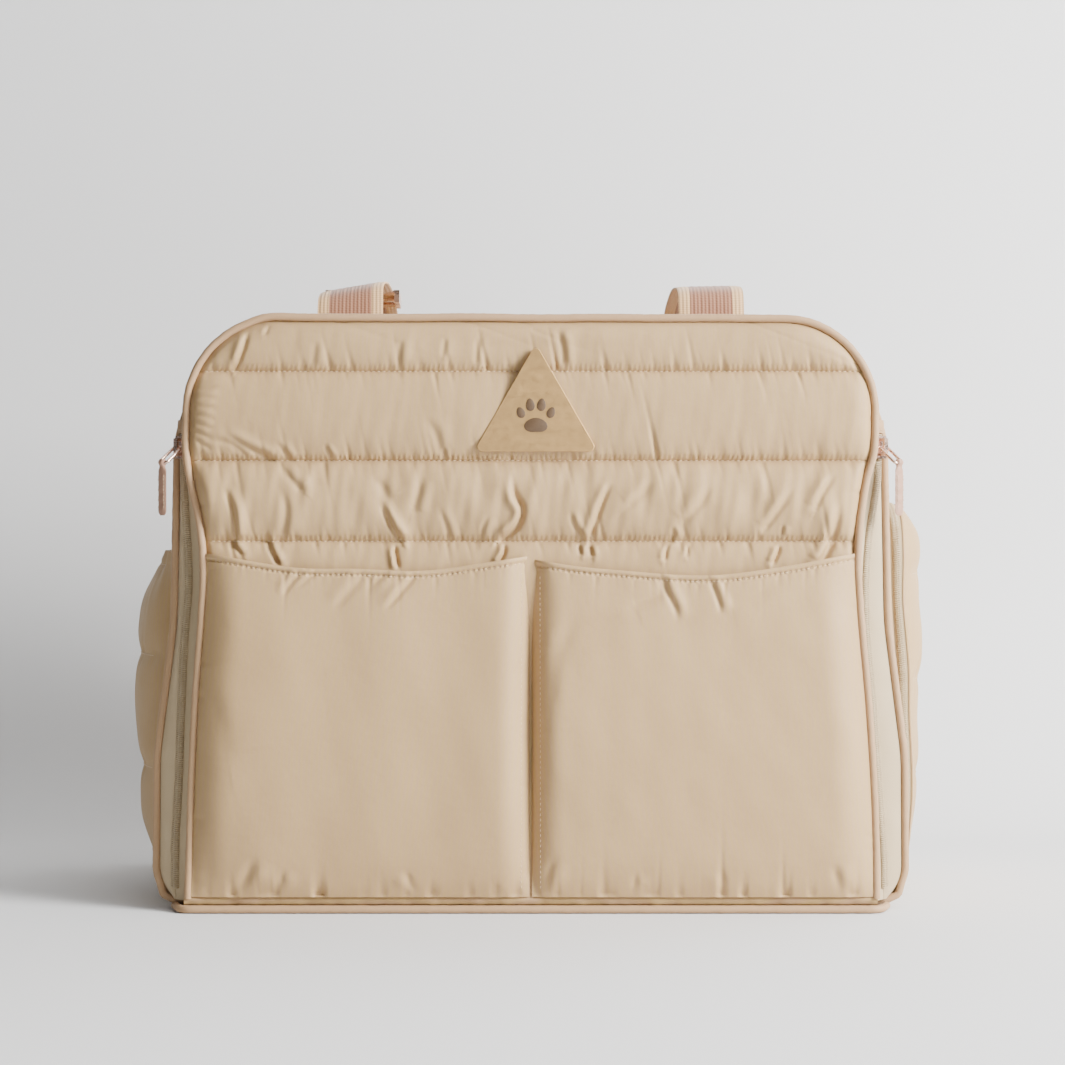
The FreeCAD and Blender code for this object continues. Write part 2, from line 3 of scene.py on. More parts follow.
import bmesh
import bpy
import numpy as np
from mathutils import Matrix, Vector


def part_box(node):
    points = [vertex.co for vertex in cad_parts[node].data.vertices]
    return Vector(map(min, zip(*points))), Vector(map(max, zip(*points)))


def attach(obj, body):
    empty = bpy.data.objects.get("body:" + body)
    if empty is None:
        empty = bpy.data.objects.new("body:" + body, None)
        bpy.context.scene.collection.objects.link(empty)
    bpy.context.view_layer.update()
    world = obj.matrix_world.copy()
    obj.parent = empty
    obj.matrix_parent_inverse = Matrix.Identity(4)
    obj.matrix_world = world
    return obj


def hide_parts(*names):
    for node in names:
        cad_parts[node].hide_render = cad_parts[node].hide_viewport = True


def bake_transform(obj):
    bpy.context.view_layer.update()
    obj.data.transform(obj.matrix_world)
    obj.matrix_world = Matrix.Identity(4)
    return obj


# A quilted pet carrier bag. Shapes are worked out in millimetres, +Z up, -Y the front, and become
# metres when their mesh is made.

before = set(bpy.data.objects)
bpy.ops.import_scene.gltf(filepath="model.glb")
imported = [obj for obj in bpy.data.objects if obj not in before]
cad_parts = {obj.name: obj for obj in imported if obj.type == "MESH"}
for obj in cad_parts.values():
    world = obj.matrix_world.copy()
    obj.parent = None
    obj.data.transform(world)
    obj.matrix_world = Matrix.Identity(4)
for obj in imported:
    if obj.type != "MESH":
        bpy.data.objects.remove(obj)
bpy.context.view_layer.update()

# ---- driving values, as in the CAD part ---------------------------------------
HEIGHT = 338.0
FOOT_HALF, HIP_HALF, WAIST_HALF, SHOULDER_HALF = 217.5, 217.0, 207.2, 204.0
HIP_Z, WAIST_Z = 88.0, 165.0
FOOT_R, SHOULDER_R = 25.0, 80.0
FRONT_EDGE, BACK_EDGE = -90.0, 100.0
BACK_LEAN = math.radians(2.4)
BACK_THICK = 8.0
PANEL = 3.0
LINING = 1.0
BASE_Z, TOP_Z = 26.0, 256.0
CORD_R = 2.3

FLAP_TOP, FLAP_R = 342.0, 56.0
SHOULDER_Z = FLAP_TOP - FLAP_R
SHOULDER_X = 199.0
# the half width of the flap at each height, on the left and on the right
LEFT_EDGE = [(286.0, 199.0), (260.0, 199.0), (243.0, 195.9), (225.0, 191.9), (208.0, 189.8), (190.0, 189.3),
             (173.0, 190.2), (117.0, 194.1), (67.0, 196.3), (18.0, 197.8), (8.0, 198.2)]
RIGHT_EDGE = [(286.0, 199.0), (260.0, 197.6), (251.0, 194.9), (234.0, 191.7), (217.0, 189.8), (199.5, 189.0),
              (178.0, 190.1), (117.0, 195.3), (67.0, 198.4), (18.0, 199.6), (8.0, 199.6)]
HEM_Z = 8.0
FLAP_FRONT, FLAP_BACK = -112.0, -104.0
FLAP_SEAM = 3.2  # from the outside of the flap's piping in to its quilting
SEAMS = (212.0, 258.0, 309.0)
STITCH = 3.0

CHAIN_Y = -98.8
CHAIN_X = 199.5
CHAIN_T = (0.745, 0.667)
CHAIN_LOW = 12.0
FLAP_CHAIN_TOP, BODY_CHAIN_TOP = 258.0, 274.0
# the half width of the main chain at each height, on the left and on the right
LEFT_CHAIN = [(12.0, 204.6), (43.0, 204.2), (67.0, 202.7), (117.0, 200.9), (166.0, 198.4), (182.0, 196.9),
              (199.0, 197.0), (225.0, 198.4), (244.0, 199.3), (256.0, 199.5), (280.0, 199.5)]
RIGHT_CHAIN = [(12.0, 203.4), (30.0, 203.0), (67.0, 200.4), (117.0, 196.9), (166.0, 192.9), (182.0, 192.5),
               (199.0, 193.0), (217.0, 194.6), (234.0, 197.4), (246.0, 199.2), (256.0, 199.5), (280.0, 199.5)]
PITCH = 1.1

SIDE_POCKET_Z = 22.0
SIDE_POCKET_X = 217.7
SIDE_TILT = math.radians(3.1)
POCKET_HIGH = 212.0
POCKET_FRONT, POCKET_BACK = -70.0, 74.0
POCKET_CHAIN = 8.4
POCKET_SLIDE_Z = 44.0

STRAP_X, STRAP_W, STRAP_T = 105.0, 38.0, 2.0


# ---- curves and small noises --------------------------------------------------


def curve_at(points, where):
    """Smooth height at where of a curve through (place, height) points."""
    xs, ys = np.array(sorted(points), float).T
    slope = np.gradient(ys, xs)
    where = np.clip(where, xs[0], xs[-1])
    k = np.clip(np.searchsorted(xs, where) - 1, 0, len(xs) - 2)
    gap = xs[k + 1] - xs[k]
    t = (where - xs[k]) / gap
    start = (1 + 2 * t) * (1 - t) ** 2 * ys[k] + t * (1 - t) ** 2 * gap * slope[k]
    return start + t * t * (3 - 2 * t) * ys[k + 1] + t * t * (t - 1) * gap * slope[k + 1]


def ramp(value, low, high):
    """Smooth step from 0 at low to 1 at high."""
    t = np.clip((value - low) / (high - low), 0, 1)
    return t * t * (3 - 2 * t)


def round_edge(distance, reach, power=2.4):
    """How a stuffed panel rises from its seam: 0 at the seam, 1 at reach."""
    return 1 - (1 - np.clip(distance / reach, 0, 1)) ** power


def ripple(x, seed, short, long):
    """Uneven waves along x, about -1 to 1."""
    rng = np.random.default_rng(seed)
    waves = np.geomspace(short, long, 5) * rng.uniform(0.85, 1.15, 5)
    phases = rng.uniform(0, 2 * np.pi, 5)
    return sum(np.sin(2 * np.pi * x / w + p) for w, p in zip(waves, phases)) / 2.2


def mottle(a, b, seed, size):
    """Uneven waves over a surface, about -1 to 1."""
    rng = np.random.default_rng(seed)
    turns, phases, stretches = rng.uniform(0, np.pi, 7), rng.uniform(0, 6.3, 7), rng.uniform(0.6, 1.5, 7)
    total = 0
    for turn, phase, stretch in zip(turns, phases, stretches):
        across = a * np.cos(turn) + b * np.sin(turn)
        total = total + np.sin(across * 2 * np.pi / (size * stretch) + phase)
    return total / 3.0


def pucker(along, off, seed, reach, depth, short=5.0, long=17.0):
    """Little valleys that start at a seam and fade away from it. off is the distance from the seam."""
    valley = np.clip(ripple(along, seed, short, long), 0, 2) ** 1.4
    length = reach * (0.45 + 0.9 * np.clip(ripple(along, seed + 1, 11.0, 60.0), -0.4, 1.2) ** 2)
    return -depth * valley * np.exp(-off / length) * (1 - np.exp(-off / 0.9))


def polyline_reach(points, x, z, steps=14):
    """Signed distance to a smooth line through points, and the share of its length at the nearest place."""
    points = np.array(points, float)
    places = np.linspace(0, 1, len(points))
    fine = np.linspace(0, 1, steps)
    if len(points) > 2:
        line = np.stack([curve_at(list(zip(places, points[:, i])), fine) for i in (0, 1)], 1)
    else:
        line = points[0] + (points[1] - points[0]) * fine[:, None]
    best = np.full(x.shape, 1e9)
    side = np.zeros(x.shape)
    share = np.zeros(x.shape)
    for i in range(steps - 1):
        a, b = line[i], line[i + 1]
        way = b - a
        t = np.clip(((x - a[0]) * way[0] + (z - a[1]) * way[1]) / (way @ way), 0, 1)
        dx, dz = x - a[0] - t * way[0], z - a[1] - t * way[1]
        gap = np.hypot(dx, dz)
        near = gap < best
        best = np.where(near, gap, best)
        side = np.where(near, np.sign(way[0] * dz - way[1] * dx), side)
        share = np.where(near, (i + t) / (steps - 1), share)
    return best, side, share


def fold(x, z, points, depth, width=2.2, ridge=1):
    """A crease with a rounded ridge beside it, faint at its first point and full at its last."""
    gap, side, share = polyline_reach(points, x, z)
    strength = ramp(share, 0.0, 0.45) * (1 - 0.5 * ramp(share, 0.93, 1.0))
    signed = gap * side * ridge
    valley = -np.exp(-((gap / width) ** 2))
    hill = 0.75 * np.exp(-(((signed - 2.1 * width) / (1.7 * width)) ** 2))
    return depth * strength * (valley + hill)


AHEAD, UP = np.array([0, -1.0, 0]), np.array([0, 0, 1.0])


def box_mm(node):
    """The low and high corners of a CAD node."""
    return [np.array(v) * 1000 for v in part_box(node)]


def unit(vectors):
    """Vectors brought to length 1."""
    return vectors / np.linalg.norm(vectors, axis=-1, keepdims=True)


def grid_of(x, y, z):
    """A grid of points from coordinates that fit one another's shapes."""
    return np.stack(np.broadcast_arrays(x, y, z), -1)


def distance_along(path):
    """How far along a polyline each of its points lies."""
    return np.concatenate([[0], np.cumsum(np.linalg.norm(np.diff(path, axis=0), axis=1))])


def away_from(path, centre):
    """Directions square to a flat path, pointing away from centre."""
    ahead = unit(np.gradient(path, axis=0))
    out = np.stack([ahead[:, 1], -ahead[:, 0]], 1)
    return out * np.sign(np.sum(out * (path - np.array(centre)), axis=1))[:, None]


def nearest(values, value):
    return int(np.argmin(np.abs(values - value)))


def resample(points, step, closed=False):
    """Evenly spaced points along a polyline, about step apart."""
    points = np.array(points, float)
    if closed:
        points = np.vstack([points, points[:1]])
    lengths = distance_along(points)
    count = max(2, int(round(lengths[-1] / step)) + 1)
    where = np.linspace(0, lengths[-1], count)
    fine = np.stack([np.interp(where, lengths, points[:, i]) for i in range(points.shape[1])], 1)
    return fine[:-1] if closed else fine


def rounded(points, radii, closed=True, turn_step=6.0):
    """A polyline through points with its corners turned into arcs."""
    points = [np.array(p, float) for p in points]
    out = []
    for i, point in enumerate(points):
        if not closed and i in (0, len(points) - 1):
            out.append(point)
            continue
        back, on = unit(points[i - 1] - point), unit(points[(i + 1) % len(points)] - point)
        half = math.acos(np.clip(back @ on, -1, 1)) / 2
        reach = radii[i] / math.tan(half)
        centre = point + unit(back + on) * radii[i] / math.sin(half)
        start, end = point + back * reach - centre, point + on * reach - centre
        turn = math.pi - 2 * half
        steps = max(2, int(math.degrees(turn) / turn_step))
        for t in np.arange(steps + 1) / steps:
            swung = math.sin((1 - t) * turn) * start + math.sin(t * turn) * end
            out.append(centre + swung / math.sin(turn))
    return np.array(out)


# ---- meshes -------------------------------------------------------------------


def make_piece(name, verts, faces, material, body=None, sharp=50.0):
    """A mesh object from millimetre points, smooth but for edges sharper than sharp degrees."""
    mesh = bpy.data.meshes.new(name)
    mesh.from_pydata((np.asarray(verts, float) * 0.001).tolist(), [], [list(f) for f in faces])
    build = bmesh.new()
    build.from_mesh(mesh)
    bmesh.ops.recalc_face_normals(build, faces=build.faces)
    build.to_mesh(mesh)
    build.free()
    mesh.shade_smooth()
    mesh.set_sharp_from_angle(angle=math.radians(sharp))
    mesh.materials.append(material)
    piece = bpy.data.objects.new(name, mesh)
    bpy.context.scene.collection.objects.link(piece)
    if body:
        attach(piece, body)
    return piece


def shell(name, outside, inside, material, body=None, keep=None):
    """A closed skin between two grids of points. keep says which cells of the grid are there."""
    rows, cols = outside.shape[:2]
    keep = np.ones((rows - 1, cols - 1), bool) if keep is None else keep
    count = rows * cols
    index = np.arange(count).reshape(rows, cols)
    corners = np.stack([index[:-1, :-1], index[:-1, 1:], index[1:, 1:], index[1:, :-1]], -1)[keep]
    faces = corners.tolist() + (corners[:, ::-1] + count).tolist()
    used = np.unique(faces)
    edges = np.concatenate([corners[:, [i, (i + 1) % 4]] for i in range(4)])
    keys = edges.min(1) * count + edges.max(1)
    _, first, times = np.unique(keys, return_index=True, return_counts=True)
    for a, b in edges[first[times == 1]].tolist():
        faces.append([b, a, a + count, b + count])
    verts = np.concatenate([outside.reshape(-1, 3), inside.reshape(-1, 3)])
    where = np.full(2 * count, -1)
    where[used] = np.arange(len(used))
    return make_piece(name, verts[used], where[faces].tolist(), material, body)


def steady_normals(tangent):
    """Two directions square to a path at each point, with no twist between them."""
    tangent = unit(tangent)
    start = np.cross(tangent[0], (0, 1, 0) if abs(tangent[0][1]) < 0.8 else (1, 0, 0))
    normal = [unit(start)]
    for t in tangent[1:]:
        normal.append(unit(normal[-1] - t * (normal[-1] @ t)))
    return np.array(normal), np.cross(tangent, normal)


def tube_parts(path, radius, sides=10, closed=False):
    """Points and faces of a round tube. radius is a number, or one for each point and side."""
    path = np.asarray(path, float)
    ahead = np.roll(path, -1, 0) - np.roll(path, 1, 0) if closed else np.gradient(path, axis=0)
    first, second = steady_normals(ahead)
    around = (np.arange(sides) * 2 * np.pi / sides)[None, :, None]
    ring = np.cos(around) * first[:, None] + np.sin(around) * second[:, None]
    verts = path[:, None] + ring * np.broadcast_to(radius, (len(path), sides))[..., None]
    index = np.arange(len(path) * sides).reshape(-1, sides)
    low, high = (index, np.roll(index, -1, 0)) if closed else (index[:-1], index[1:])
    quads = np.stack([low, np.roll(low, -1, 1), np.roll(high, -1, 1), high], -1).reshape(-1, 4).tolist()
    if not closed:
        quads += [index[0, ::-1].tolist(), index[-1].tolist()]
    return verts.reshape(-1, 3), quads


def gather(parts):
    """Several (points, faces) as one."""
    verts, faces, base = [], [], 0
    for points, quads in parts:
        verts.append(np.asarray(points, float))
        faces += [[i + base for i in f] for f in quads]
        base += len(points)
    return np.concatenate(verts), faces


def piping(name, node, path, body, closed=False, seed=1):
    """Fabric-covered cord, slightly uneven, in place of a CAD node."""
    step, sides = 2.0, 14
    path = resample(path, step, closed)
    along = np.arange(len(path)) * step
    around = np.arange(sides) * 2 * np.pi / sides
    uneven = 0.035 * ripple(along, seed, 5.0, 24.0)[:, None] * np.cos(around + 0.6)[None]
    uneven = uneven + 0.02 * ripple(along, seed + 3, 4.5, 9.0)[:, None]
    if closed:
        uneven = uneven * np.minimum(ramp(along, 0, 20), ramp(along[-1] - along, 0, 20))[:, None]
    verts, faces = tube_parts(path, CORD_R * (1 - 0.03 + uneven), sides, closed)
    stand_in(make_piece(name, verts, faces, cord_cloth, body), "piping_nylon", node)


def stitch_row(path, out, step=STITCH, long=2.2, wide=0.34, high=0.3, sink=0.05):
    """Thread stitches along a path, as (points, faces) parts. out is the way off the cloth at each point."""
    spots = resample(np.hstack([path, np.broadcast_to(out, np.shape(path))]), step)
    faces = [[0, 1, 2, 3], [15, 14, 13, 12]]
    for k in range(0, 12, 4):
        faces += [[k + i, k + 4 + i, k + 4 + (i + 1) % 4, k + (i + 1) % 4] for i in range(4)]
    parts = []
    tangents = np.gradient(spots[:, :3], axis=0)
    for spot, way in zip(spots[1:-1], unit(tangents[1:-1])):
        place, up = spot[:3], unit(spot[3:])
        side = unit(np.cross(way, up))
        verts = []
        for at, share, lift in ((-0.5, 0.55, -0.25), (-0.3, 1.0, 1.0), (0.3, 1.0, 1.0), (0.5, 0.55, -0.25)):
            middle = place + way * at * long + up * (lift * high - sink)
            for s, h in ((-1, -0.4), (-0.6, 0.5), (0.6, 0.5), (1, -0.4)):
                verts.append(middle + side * s * wide * share + up * h * high)
        parts.append((np.array(verts), faces))
    return parts


def panel(name, outside, inside, material, body, slot, *nodes, keep=None, fill=None):
    """A closed skin in place of CAD nodes."""
    stand_in(shell(name, outside, inside, material, body, keep), slot, *nodes, fill=fill)


def sew(name, stitches, body):
    """Rows of stitches as one piece."""
    make_piece(name, *gather(stitches), thread, body)


def stand_in(piece, slot, *nodes, fill=None):
    """Hides the CAD nodes that a piece replaces. slot, the slot it would take, and fill, how full a padded
    piece is, are not used.
    """
    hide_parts(*nodes)


# ---- materials ----------------------------------------------------------------


def srgb(red, green, blue):
    """A colour given in 0-255 as a screen shows it."""
    def linear(value):
        value /= 255
        return value / 12.92 if value <= 0.04045 else ((value + 0.055) / 1.055) ** 2.4
    return (linear(red), linear(green), linear(blue), 1.0)


class Finish:
    """A material and short ways to add its nodes."""

    def __init__(self, name):
        self.material = bpy.data.materials.new(name)
        self.material.use_nodes = True
        self.tree = self.material.node_tree
        self.shader = self.tree.nodes["Principled BSDF"]
        self.place = self.node("ShaderNodeTexCoord").outputs["Object"]

    def node(self, kind, inputs=None, **settings):
        made = self.tree.nodes.new(kind)
        for key, value in settings.items():
            setattr(made, key, value)
        for key, value in (inputs or {}).items():
            if isinstance(value, bpy.types.NodeSocket):
                self.tree.links.new(value, made.inputs[key])
            else:
                made.inputs[key].default_value = value
        return made

    def math(self, how, a, b=0.0):
        return self.node("ShaderNodeMath", {0: a, 1: b}, operation=how).outputs[0]

    def axis(self, name):
        return self.node("ShaderNodeSeparateXYZ", {0: self.place}).outputs[name]

    def waves(self, coordinate, pitch, phase=0.0):
        """0 to 1 waves along a coordinate, pitch in metres."""
        turn = self.math("ADD", self.math("MULTIPLY", coordinate, 2 * math.pi / pitch), phase)
        return self.math("MULTIPLY_ADD", self.math("SINE", turn), 0.5)

    def noise(self, size, detail=2.0, stretch=(1, 1, 1)):
        """0 to 1 noise with lumps of about size metres."""
        place = self.node("ShaderNodeVectorMath", {0: self.place, 1: stretch}, operation="MULTIPLY")
        inputs = {"Vector": place.outputs[0], "Scale": 1 / size, "Detail": detail}
        return self.node("ShaderNodeTexNoise", inputs).outputs["Fac"]

    def blend(self, share, first, second):
        made = self.node("ShaderNodeMix", {0: share, 6: first, 7: second}, data_type="RGBA")
        return made.outputs[2]

    def spread(self, value, low, high, to_low=0.0, to_high=1.0):
        inputs = {0: value, 1: low, 2: high, 3: to_low, 4: to_high}
        return self.node("ShaderNodeMapRange", inputs).outputs[0]

    def bump(self, height, depth, strength=1.0, under=None):
        inputs = {"Height": height, "Distance": depth, "Strength": strength}
        if under is not None:
            inputs["Normal"] = under
        return self.node("ShaderNodeBump", inputs).outputs[0]

    def set(self, **inputs):
        for key, value in inputs.items():
            socket = self.shader.inputs[key.replace("_", " ")]
            if isinstance(value, bpy.types.NodeSocket):
                self.tree.links.new(value, socket)
            else:
                socket.default_value = value
        return self.material


def nylon(name, light, dark, rib="X", rough=0.56, sheen=0.04, rib_pitch=0.0024, contrast=0.9, slant=0.0):
    """Satin nylon: faint pinkish and yellowish ribs that wander a little, soft crinkles and a dull sheen."""
    f = Finish(name)
    warp = f.math("MULTIPLY", f.noise(0.14, 1.0), 0.02)
    place = f.math("ADD", f.axis(rib), warp)
    if slant:
        place = f.math("ADD", place, f.math("MULTIPLY", f.axis("Z"), slant))
    broad = f.math("MULTIPLY", f.waves(place, rib_pitch), contrast)
    pink = tuple(v * k for v, k in zip(light, (0.995, 0.972, 1.05)))
    yellow = tuple(v * k for v, k in zip(light, (1.005, 1.018, 0.92)))
    face = f.blend(f.math("ADD", broad, f.math("MULTIPLY", f.noise(0.02), 0.2)), srgb(*pink), srgb(*yellow))
    cloud = f.math("MULTIPLY", f.noise(0.06, 3.0), 0.6)
    fleck = f.math("MULTIPLY", f.noise(0.0011, 2.0, (1, 1, 0.3)), 0.4)
    color = f.blend(f.math("ADD", cloud, fleck), srgb(*dark), face)
    weave = f.math("ADD", f.math("MULTIPLY", f.waves(f.axis(rib), 0.00052), 0.7),
                   f.math("MULTIPLY", f.waves(f.axis("Z"), 0.00045), 0.3))
    crinkle = f.bump(f.noise(0.006, 3.0), 0.0005, 0.3)
    normal = f.bump(weave, 0.00005, 0.4, crinkle)
    gloss = f.spread(f.noise(0.02, 3.0), 0.3, 0.7, rough - 0.05, rough + 0.07)
    return f.set(Base_Color=color, Roughness=gloss, Normal=normal, Sheen_Weight=sheen, Sheen_Roughness=0.45,
                 Specular_IOR_Level=0.3)


def tape_cloth(name, light, dark, across="X"):
    """Zip tape: a tight herringbone with fine cross ribs."""
    f = Finish(name)
    slant = f.math("ADD", f.math("PINGPONG", f.axis(across), 0.0016), f.axis("Z"))
    herring = f.waves(slant, 0.0009)
    ribs = f.waves(f.axis("Z"), 0.0007)
    share = f.math("MULTIPLY", f.math("ADD", herring, f.noise(0.03, 2.0)), 0.5)
    normal = f.bump(herring, 0.00012, 0.6, f.bump(ribs, 0.00006, 0.5))
    return f.set(Base_Color=f.blend(share, srgb(*dark), srgb(*light)), Roughness=0.72, Normal=normal,
                 Sheen_Weight=0.15, Specular_IOR_Level=0.3)


def plastic_coil(name, light, dark):
    f = Finish(name)
    share = f.noise(0.006, 2.0)
    color = f.blend(share, srgb(*dark), srgb(*light))
    return f.set(Base_Color=color, Normal=f.bump(f.noise(0.0008), 0.00004),
                 Roughness=f.spread(share, 0.3, 0.7, 0.34, 0.46), Specular_IOR_Level=0.5)


def metal(name, light, dark, rough=0.24, brushed=0.0):
    """Plated metal with faint wear and, if asked, brush lines along X."""
    f = Finish(name)
    wear = f.noise(0.004, 4.0)
    color = f.blend(wear, srgb(*dark), srgb(*light))
    lines = f.noise(0.0009, 3.0, (0.03, 1, 1))
    normal = f.bump(lines, 0.00003, brushed, f.bump(f.noise(0.0016, 2.0), 0.00001, 0.3))
    gloss = f.spread(f.math("ADD", f.math("MULTIPLY", wear, 0.5), f.math("MULTIPLY", lines, 0.5)),
                     0.3, 0.7, rough - 0.06, rough + 0.1)
    return f.set(Base_Color=color, Metallic=1.0, Roughness=gloss, Normal=normal)


def strap_cloth(name):
    """Jacquard webbing: cream borders and a rose middle with lengthwise ribs."""
    f = Finish(name)
    across = f.node("ShaderNodeAttribute", attribute_name="across").outputs["Fac"]
    along = f.node("ShaderNodeAttribute", attribute_name="along").outputs["Fac"]
    border = f.spread(f.math("ABSOLUTE", across), 0.645, 0.66)
    ribs = f.waves(across, 0.115)
    picks = f.waves(along, 0.0011)
    twill = f.waves(f.math("ADD", along, f.math("MULTIPLY", across, 0.012)), 0.0019)
    weft = f.math("ADD", f.math("MULTIPLY", ribs, 0.55), f.math("MULTIPLY", twill, 0.3))
    share = f.math("ADD", weft, f.math("MULTIPLY", f.noise(0.01), 0.2))
    rose = f.blend(share, srgb(133, 86, 63), srgb(163, 119, 91))
    cream = f.blend(picks, srgb(196, 156, 112), srgb(215, 176, 127))
    normal = f.bump(ribs, 0.00028, 0.6, f.bump(picks, 0.00012, 0.6))
    return f.set(Base_Color=f.blend(border, rose, cream), Roughness=0.62, Normal=normal, Sheen_Weight=0.2,
                 Specular_IOR_Level=0.35)


def plush(name):
    f = Finish(name)
    tuft = f.noise(0.0022, 5.0)
    share = f.math("MULTIPLY", f.math("ADD", tuft, f.noise(0.03, 3.0)), 0.5)
    return f.set(Base_Color=f.blend(share, srgb(156, 140, 120), srgb(201, 187, 167)), Roughness=0.9,
                 Normal=f.bump(tuft, 0.0012, 0.8), Sheen_Weight=0.6)


def plain(name, light, dark, rough, grain=0.002, depth=0.00008):
    """A matt moulded or pressed finish with a little grain."""
    f = Finish(name)
    share = f.noise(grain * 6, 4.0)
    return f.set(Base_Color=f.blend(share, srgb(*dark), srgb(*light)), Roughness=rough,
                 Normal=f.bump(f.noise(grain, 3.0), depth, 0.7))


CLOTH_LIGHT, CLOTH_DARK = (184, 154, 113), (167, 137, 97)
shell_cloth = nylon("shell_cloth", CLOTH_LIGHT, CLOTH_DARK)
pouch_cloth = {1: nylon("right_pouch_cloth", CLOTH_LIGHT, CLOTH_DARK, rib_pitch=0.003, slant=0.16),
               -1: nylon("left_pouch_cloth", CLOTH_LIGHT, CLOTH_DARK, rib_pitch=0.003, slant=-0.12)}
side_cloth = nylon("side_cloth", CLOTH_LIGHT, CLOTH_DARK, rib="Y")
cord_cloth = nylon("cord_cloth", (178, 147, 109), (162, 131, 94), rough=0.55, contrast=0.2)
lining_cloth = nylon("lining_cloth", (160, 145, 124), (142, 126, 106), rib="X", rough=0.6, contrast=0.2)
net_cloth = plain("net_cloth", (151, 135, 115), (124, 108, 90), 0.7, 0.0006)
tape = tape_cloth("zip_tape_cloth", (192, 173, 139), (174, 154, 121))
coil_plastic = plastic_coil("coil_plastic", (186, 167, 134), (163, 144, 112))
rose_gold = metal("rose_gold", (238, 208, 190), (214, 178, 158), rough=0.26)
badge_gold = metal("badge_gold", (206, 170, 116), (190, 153, 101), rough=0.5, brushed=0.15)
emblem_brown = plain("emblem_brown", (92, 70, 46), (70, 52, 34), 0.5, 0.0006)
thread = plain("thread_cloth", (206, 180, 143), (187, 161, 125), 0.6, 0.0004)
tab_leather = plain("tab_leather", (178, 140, 116), (152, 114, 93), 0.55, 0.0009, 0.00012)
webbing = strap_cloth("strap_webbing")
mat_cloth = plush("mat_cloth")
board_face = plain("board_face", (92, 84, 76), (70, 64, 58), 0.7)
steel = metal("magnet_steel", (205, 205, 208), (150, 150, 154), rough=0.3)


# ---- camera, light and backdrop -----------------------------------------------


def make_studio():
    """The photo's camera, a pale sweep behind the bag and soft light from the right."""
    camera = bpy.data.objects.new("camera", bpy.data.cameras.new("camera"))
    camera.location = (0.001, -1.512, 0.217)
    camera.rotation_euler = (math.pi / 2, 0, 0)
    camera.data.angle = 2 * math.atan(0.3035 / 1.4)
    bpy.context.scene.collection.objects.link(camera)
    bpy.context.scene.camera = camera

    profile = rounded([(-4000, 0), (420, 0), (420, 3600)], [0, 220, 0], closed=False)
    wide = np.array([-4000.0, 4000.0])
    grid = grid_of(wide, profile[:, :1], profile[:, 1:])
    under = grid + np.array([0, 8.0, -8.0])
    sweep = shell("sweep", grid - np.array([0, 0, 0.2]), under, backdrop_paint())

    def area(name, place, target, size, power, color=(1, 1, 1)):
        data = bpy.data.lights.new(name, "AREA")
        data.shape = "RECTANGLE"
        data.size, data.size_y = size
        data.energy = power
        data.color = color
        lamp = bpy.data.objects.new(name, data)
        lamp.location = place
        lamp.rotation_euler = (Vector(target) - Vector(place)).to_track_quat("-Z", "Y").to_euler()
        bpy.context.scene.collection.objects.link(lamp)

    area("key", (1.55, -0.95, 0.75), (0, 0, 0.16), (0.6, 0.6), 78, (1, 0.99, 0.98))
    area("high key", (1.9, -1.3, 1.3), (0, 0, 0.16), (0.9, 0.9), 92)
    area("top", (0.8, -0.6, 2.3), (0.1, 0.1, 0), (1.6, 1.4), 28)
    area("front", (1.2, -2.9, 0.9), (0, 0, 0.15), (1.4, 1.2), 7)
    world = bpy.data.worlds.new("studio")
    world.use_nodes = True
    world.node_tree.nodes["Background"].inputs[0].default_value = (0.93, 0.95, 1.0, 1)
    world.node_tree.nodes["Background"].inputs[1].default_value = 0.09
    bpy.context.scene.world = world


def backdrop_paint():
    f = Finish("backdrop_paint")
    pale = f.blend(f.noise(0.4, 2.0), (0.70, 0.702, 0.703, 1), (0.715, 0.717, 0.718, 1))
    return f.set(Base_Color=pale, Roughness=0.9)


make_studio()


# ---- the body's outline -------------------------------------------------------


def body_outline(inset=0.0):
    """(x, z) all the way round the body from the middle of its foot, by the right side first."""
    right = [
        (FOOT_HALF - inset, inset, FOOT_R - inset),
        (HIP_HALF - inset, HIP_Z, 120.0),
        (WAIST_HALF - inset, WAIST_Z, 150.0),
        (SHOULDER_HALF - inset, HEIGHT - inset, SHOULDER_R - inset),
    ]
    around = right + [(-x, z, r) for x, z, r in reversed(right)]
    middle = np.array([[0.0, inset]])
    corners, radii = [(x, z) for x, z, r in around], [r for x, z, r in around]
    return np.vstack([middle, rounded(corners, radii, turn_step=3.0), middle])


def body_half(z, inset=0.0):
    """Half width of the body at height z."""
    line = body_outline(inset)
    right = line[: len(line) // 2]
    order = np.argsort(right[:, 1], kind="stable")
    return np.interp(z, right[order, 1], right[order, 0])


def back_at(z, out=0.0):
    """y of the leaning back at height z, out from its front plane."""
    return BACK_EDGE - z * math.tan(BACK_LEAN) + out / math.cos(BACK_LEAN)


WALL_SEAMS = (78.0, 144.0, 210.0)
ROOF_SEAMS = (40.0, 95.0, 150.0)


def clear_of(hole, x, y):
    """How far points stand outside a window: hole is its half width, its start and its end."""
    return np.maximum(np.abs(x) - hole[0], np.maximum(hole[1] - y, y - hole[2]))


def cells_clear_of(hole, x, y, margin):
    """The cells of a grid whose middles stand more than margin outside a window."""
    middle_x = (x[:-1, :-1] + x[1:, 1:]) / 2
    middle_y = (y[:-1, :-1] + y[1:, 1:]) / 2
    return clear_of(hole, middle_x, middle_y) >= margin


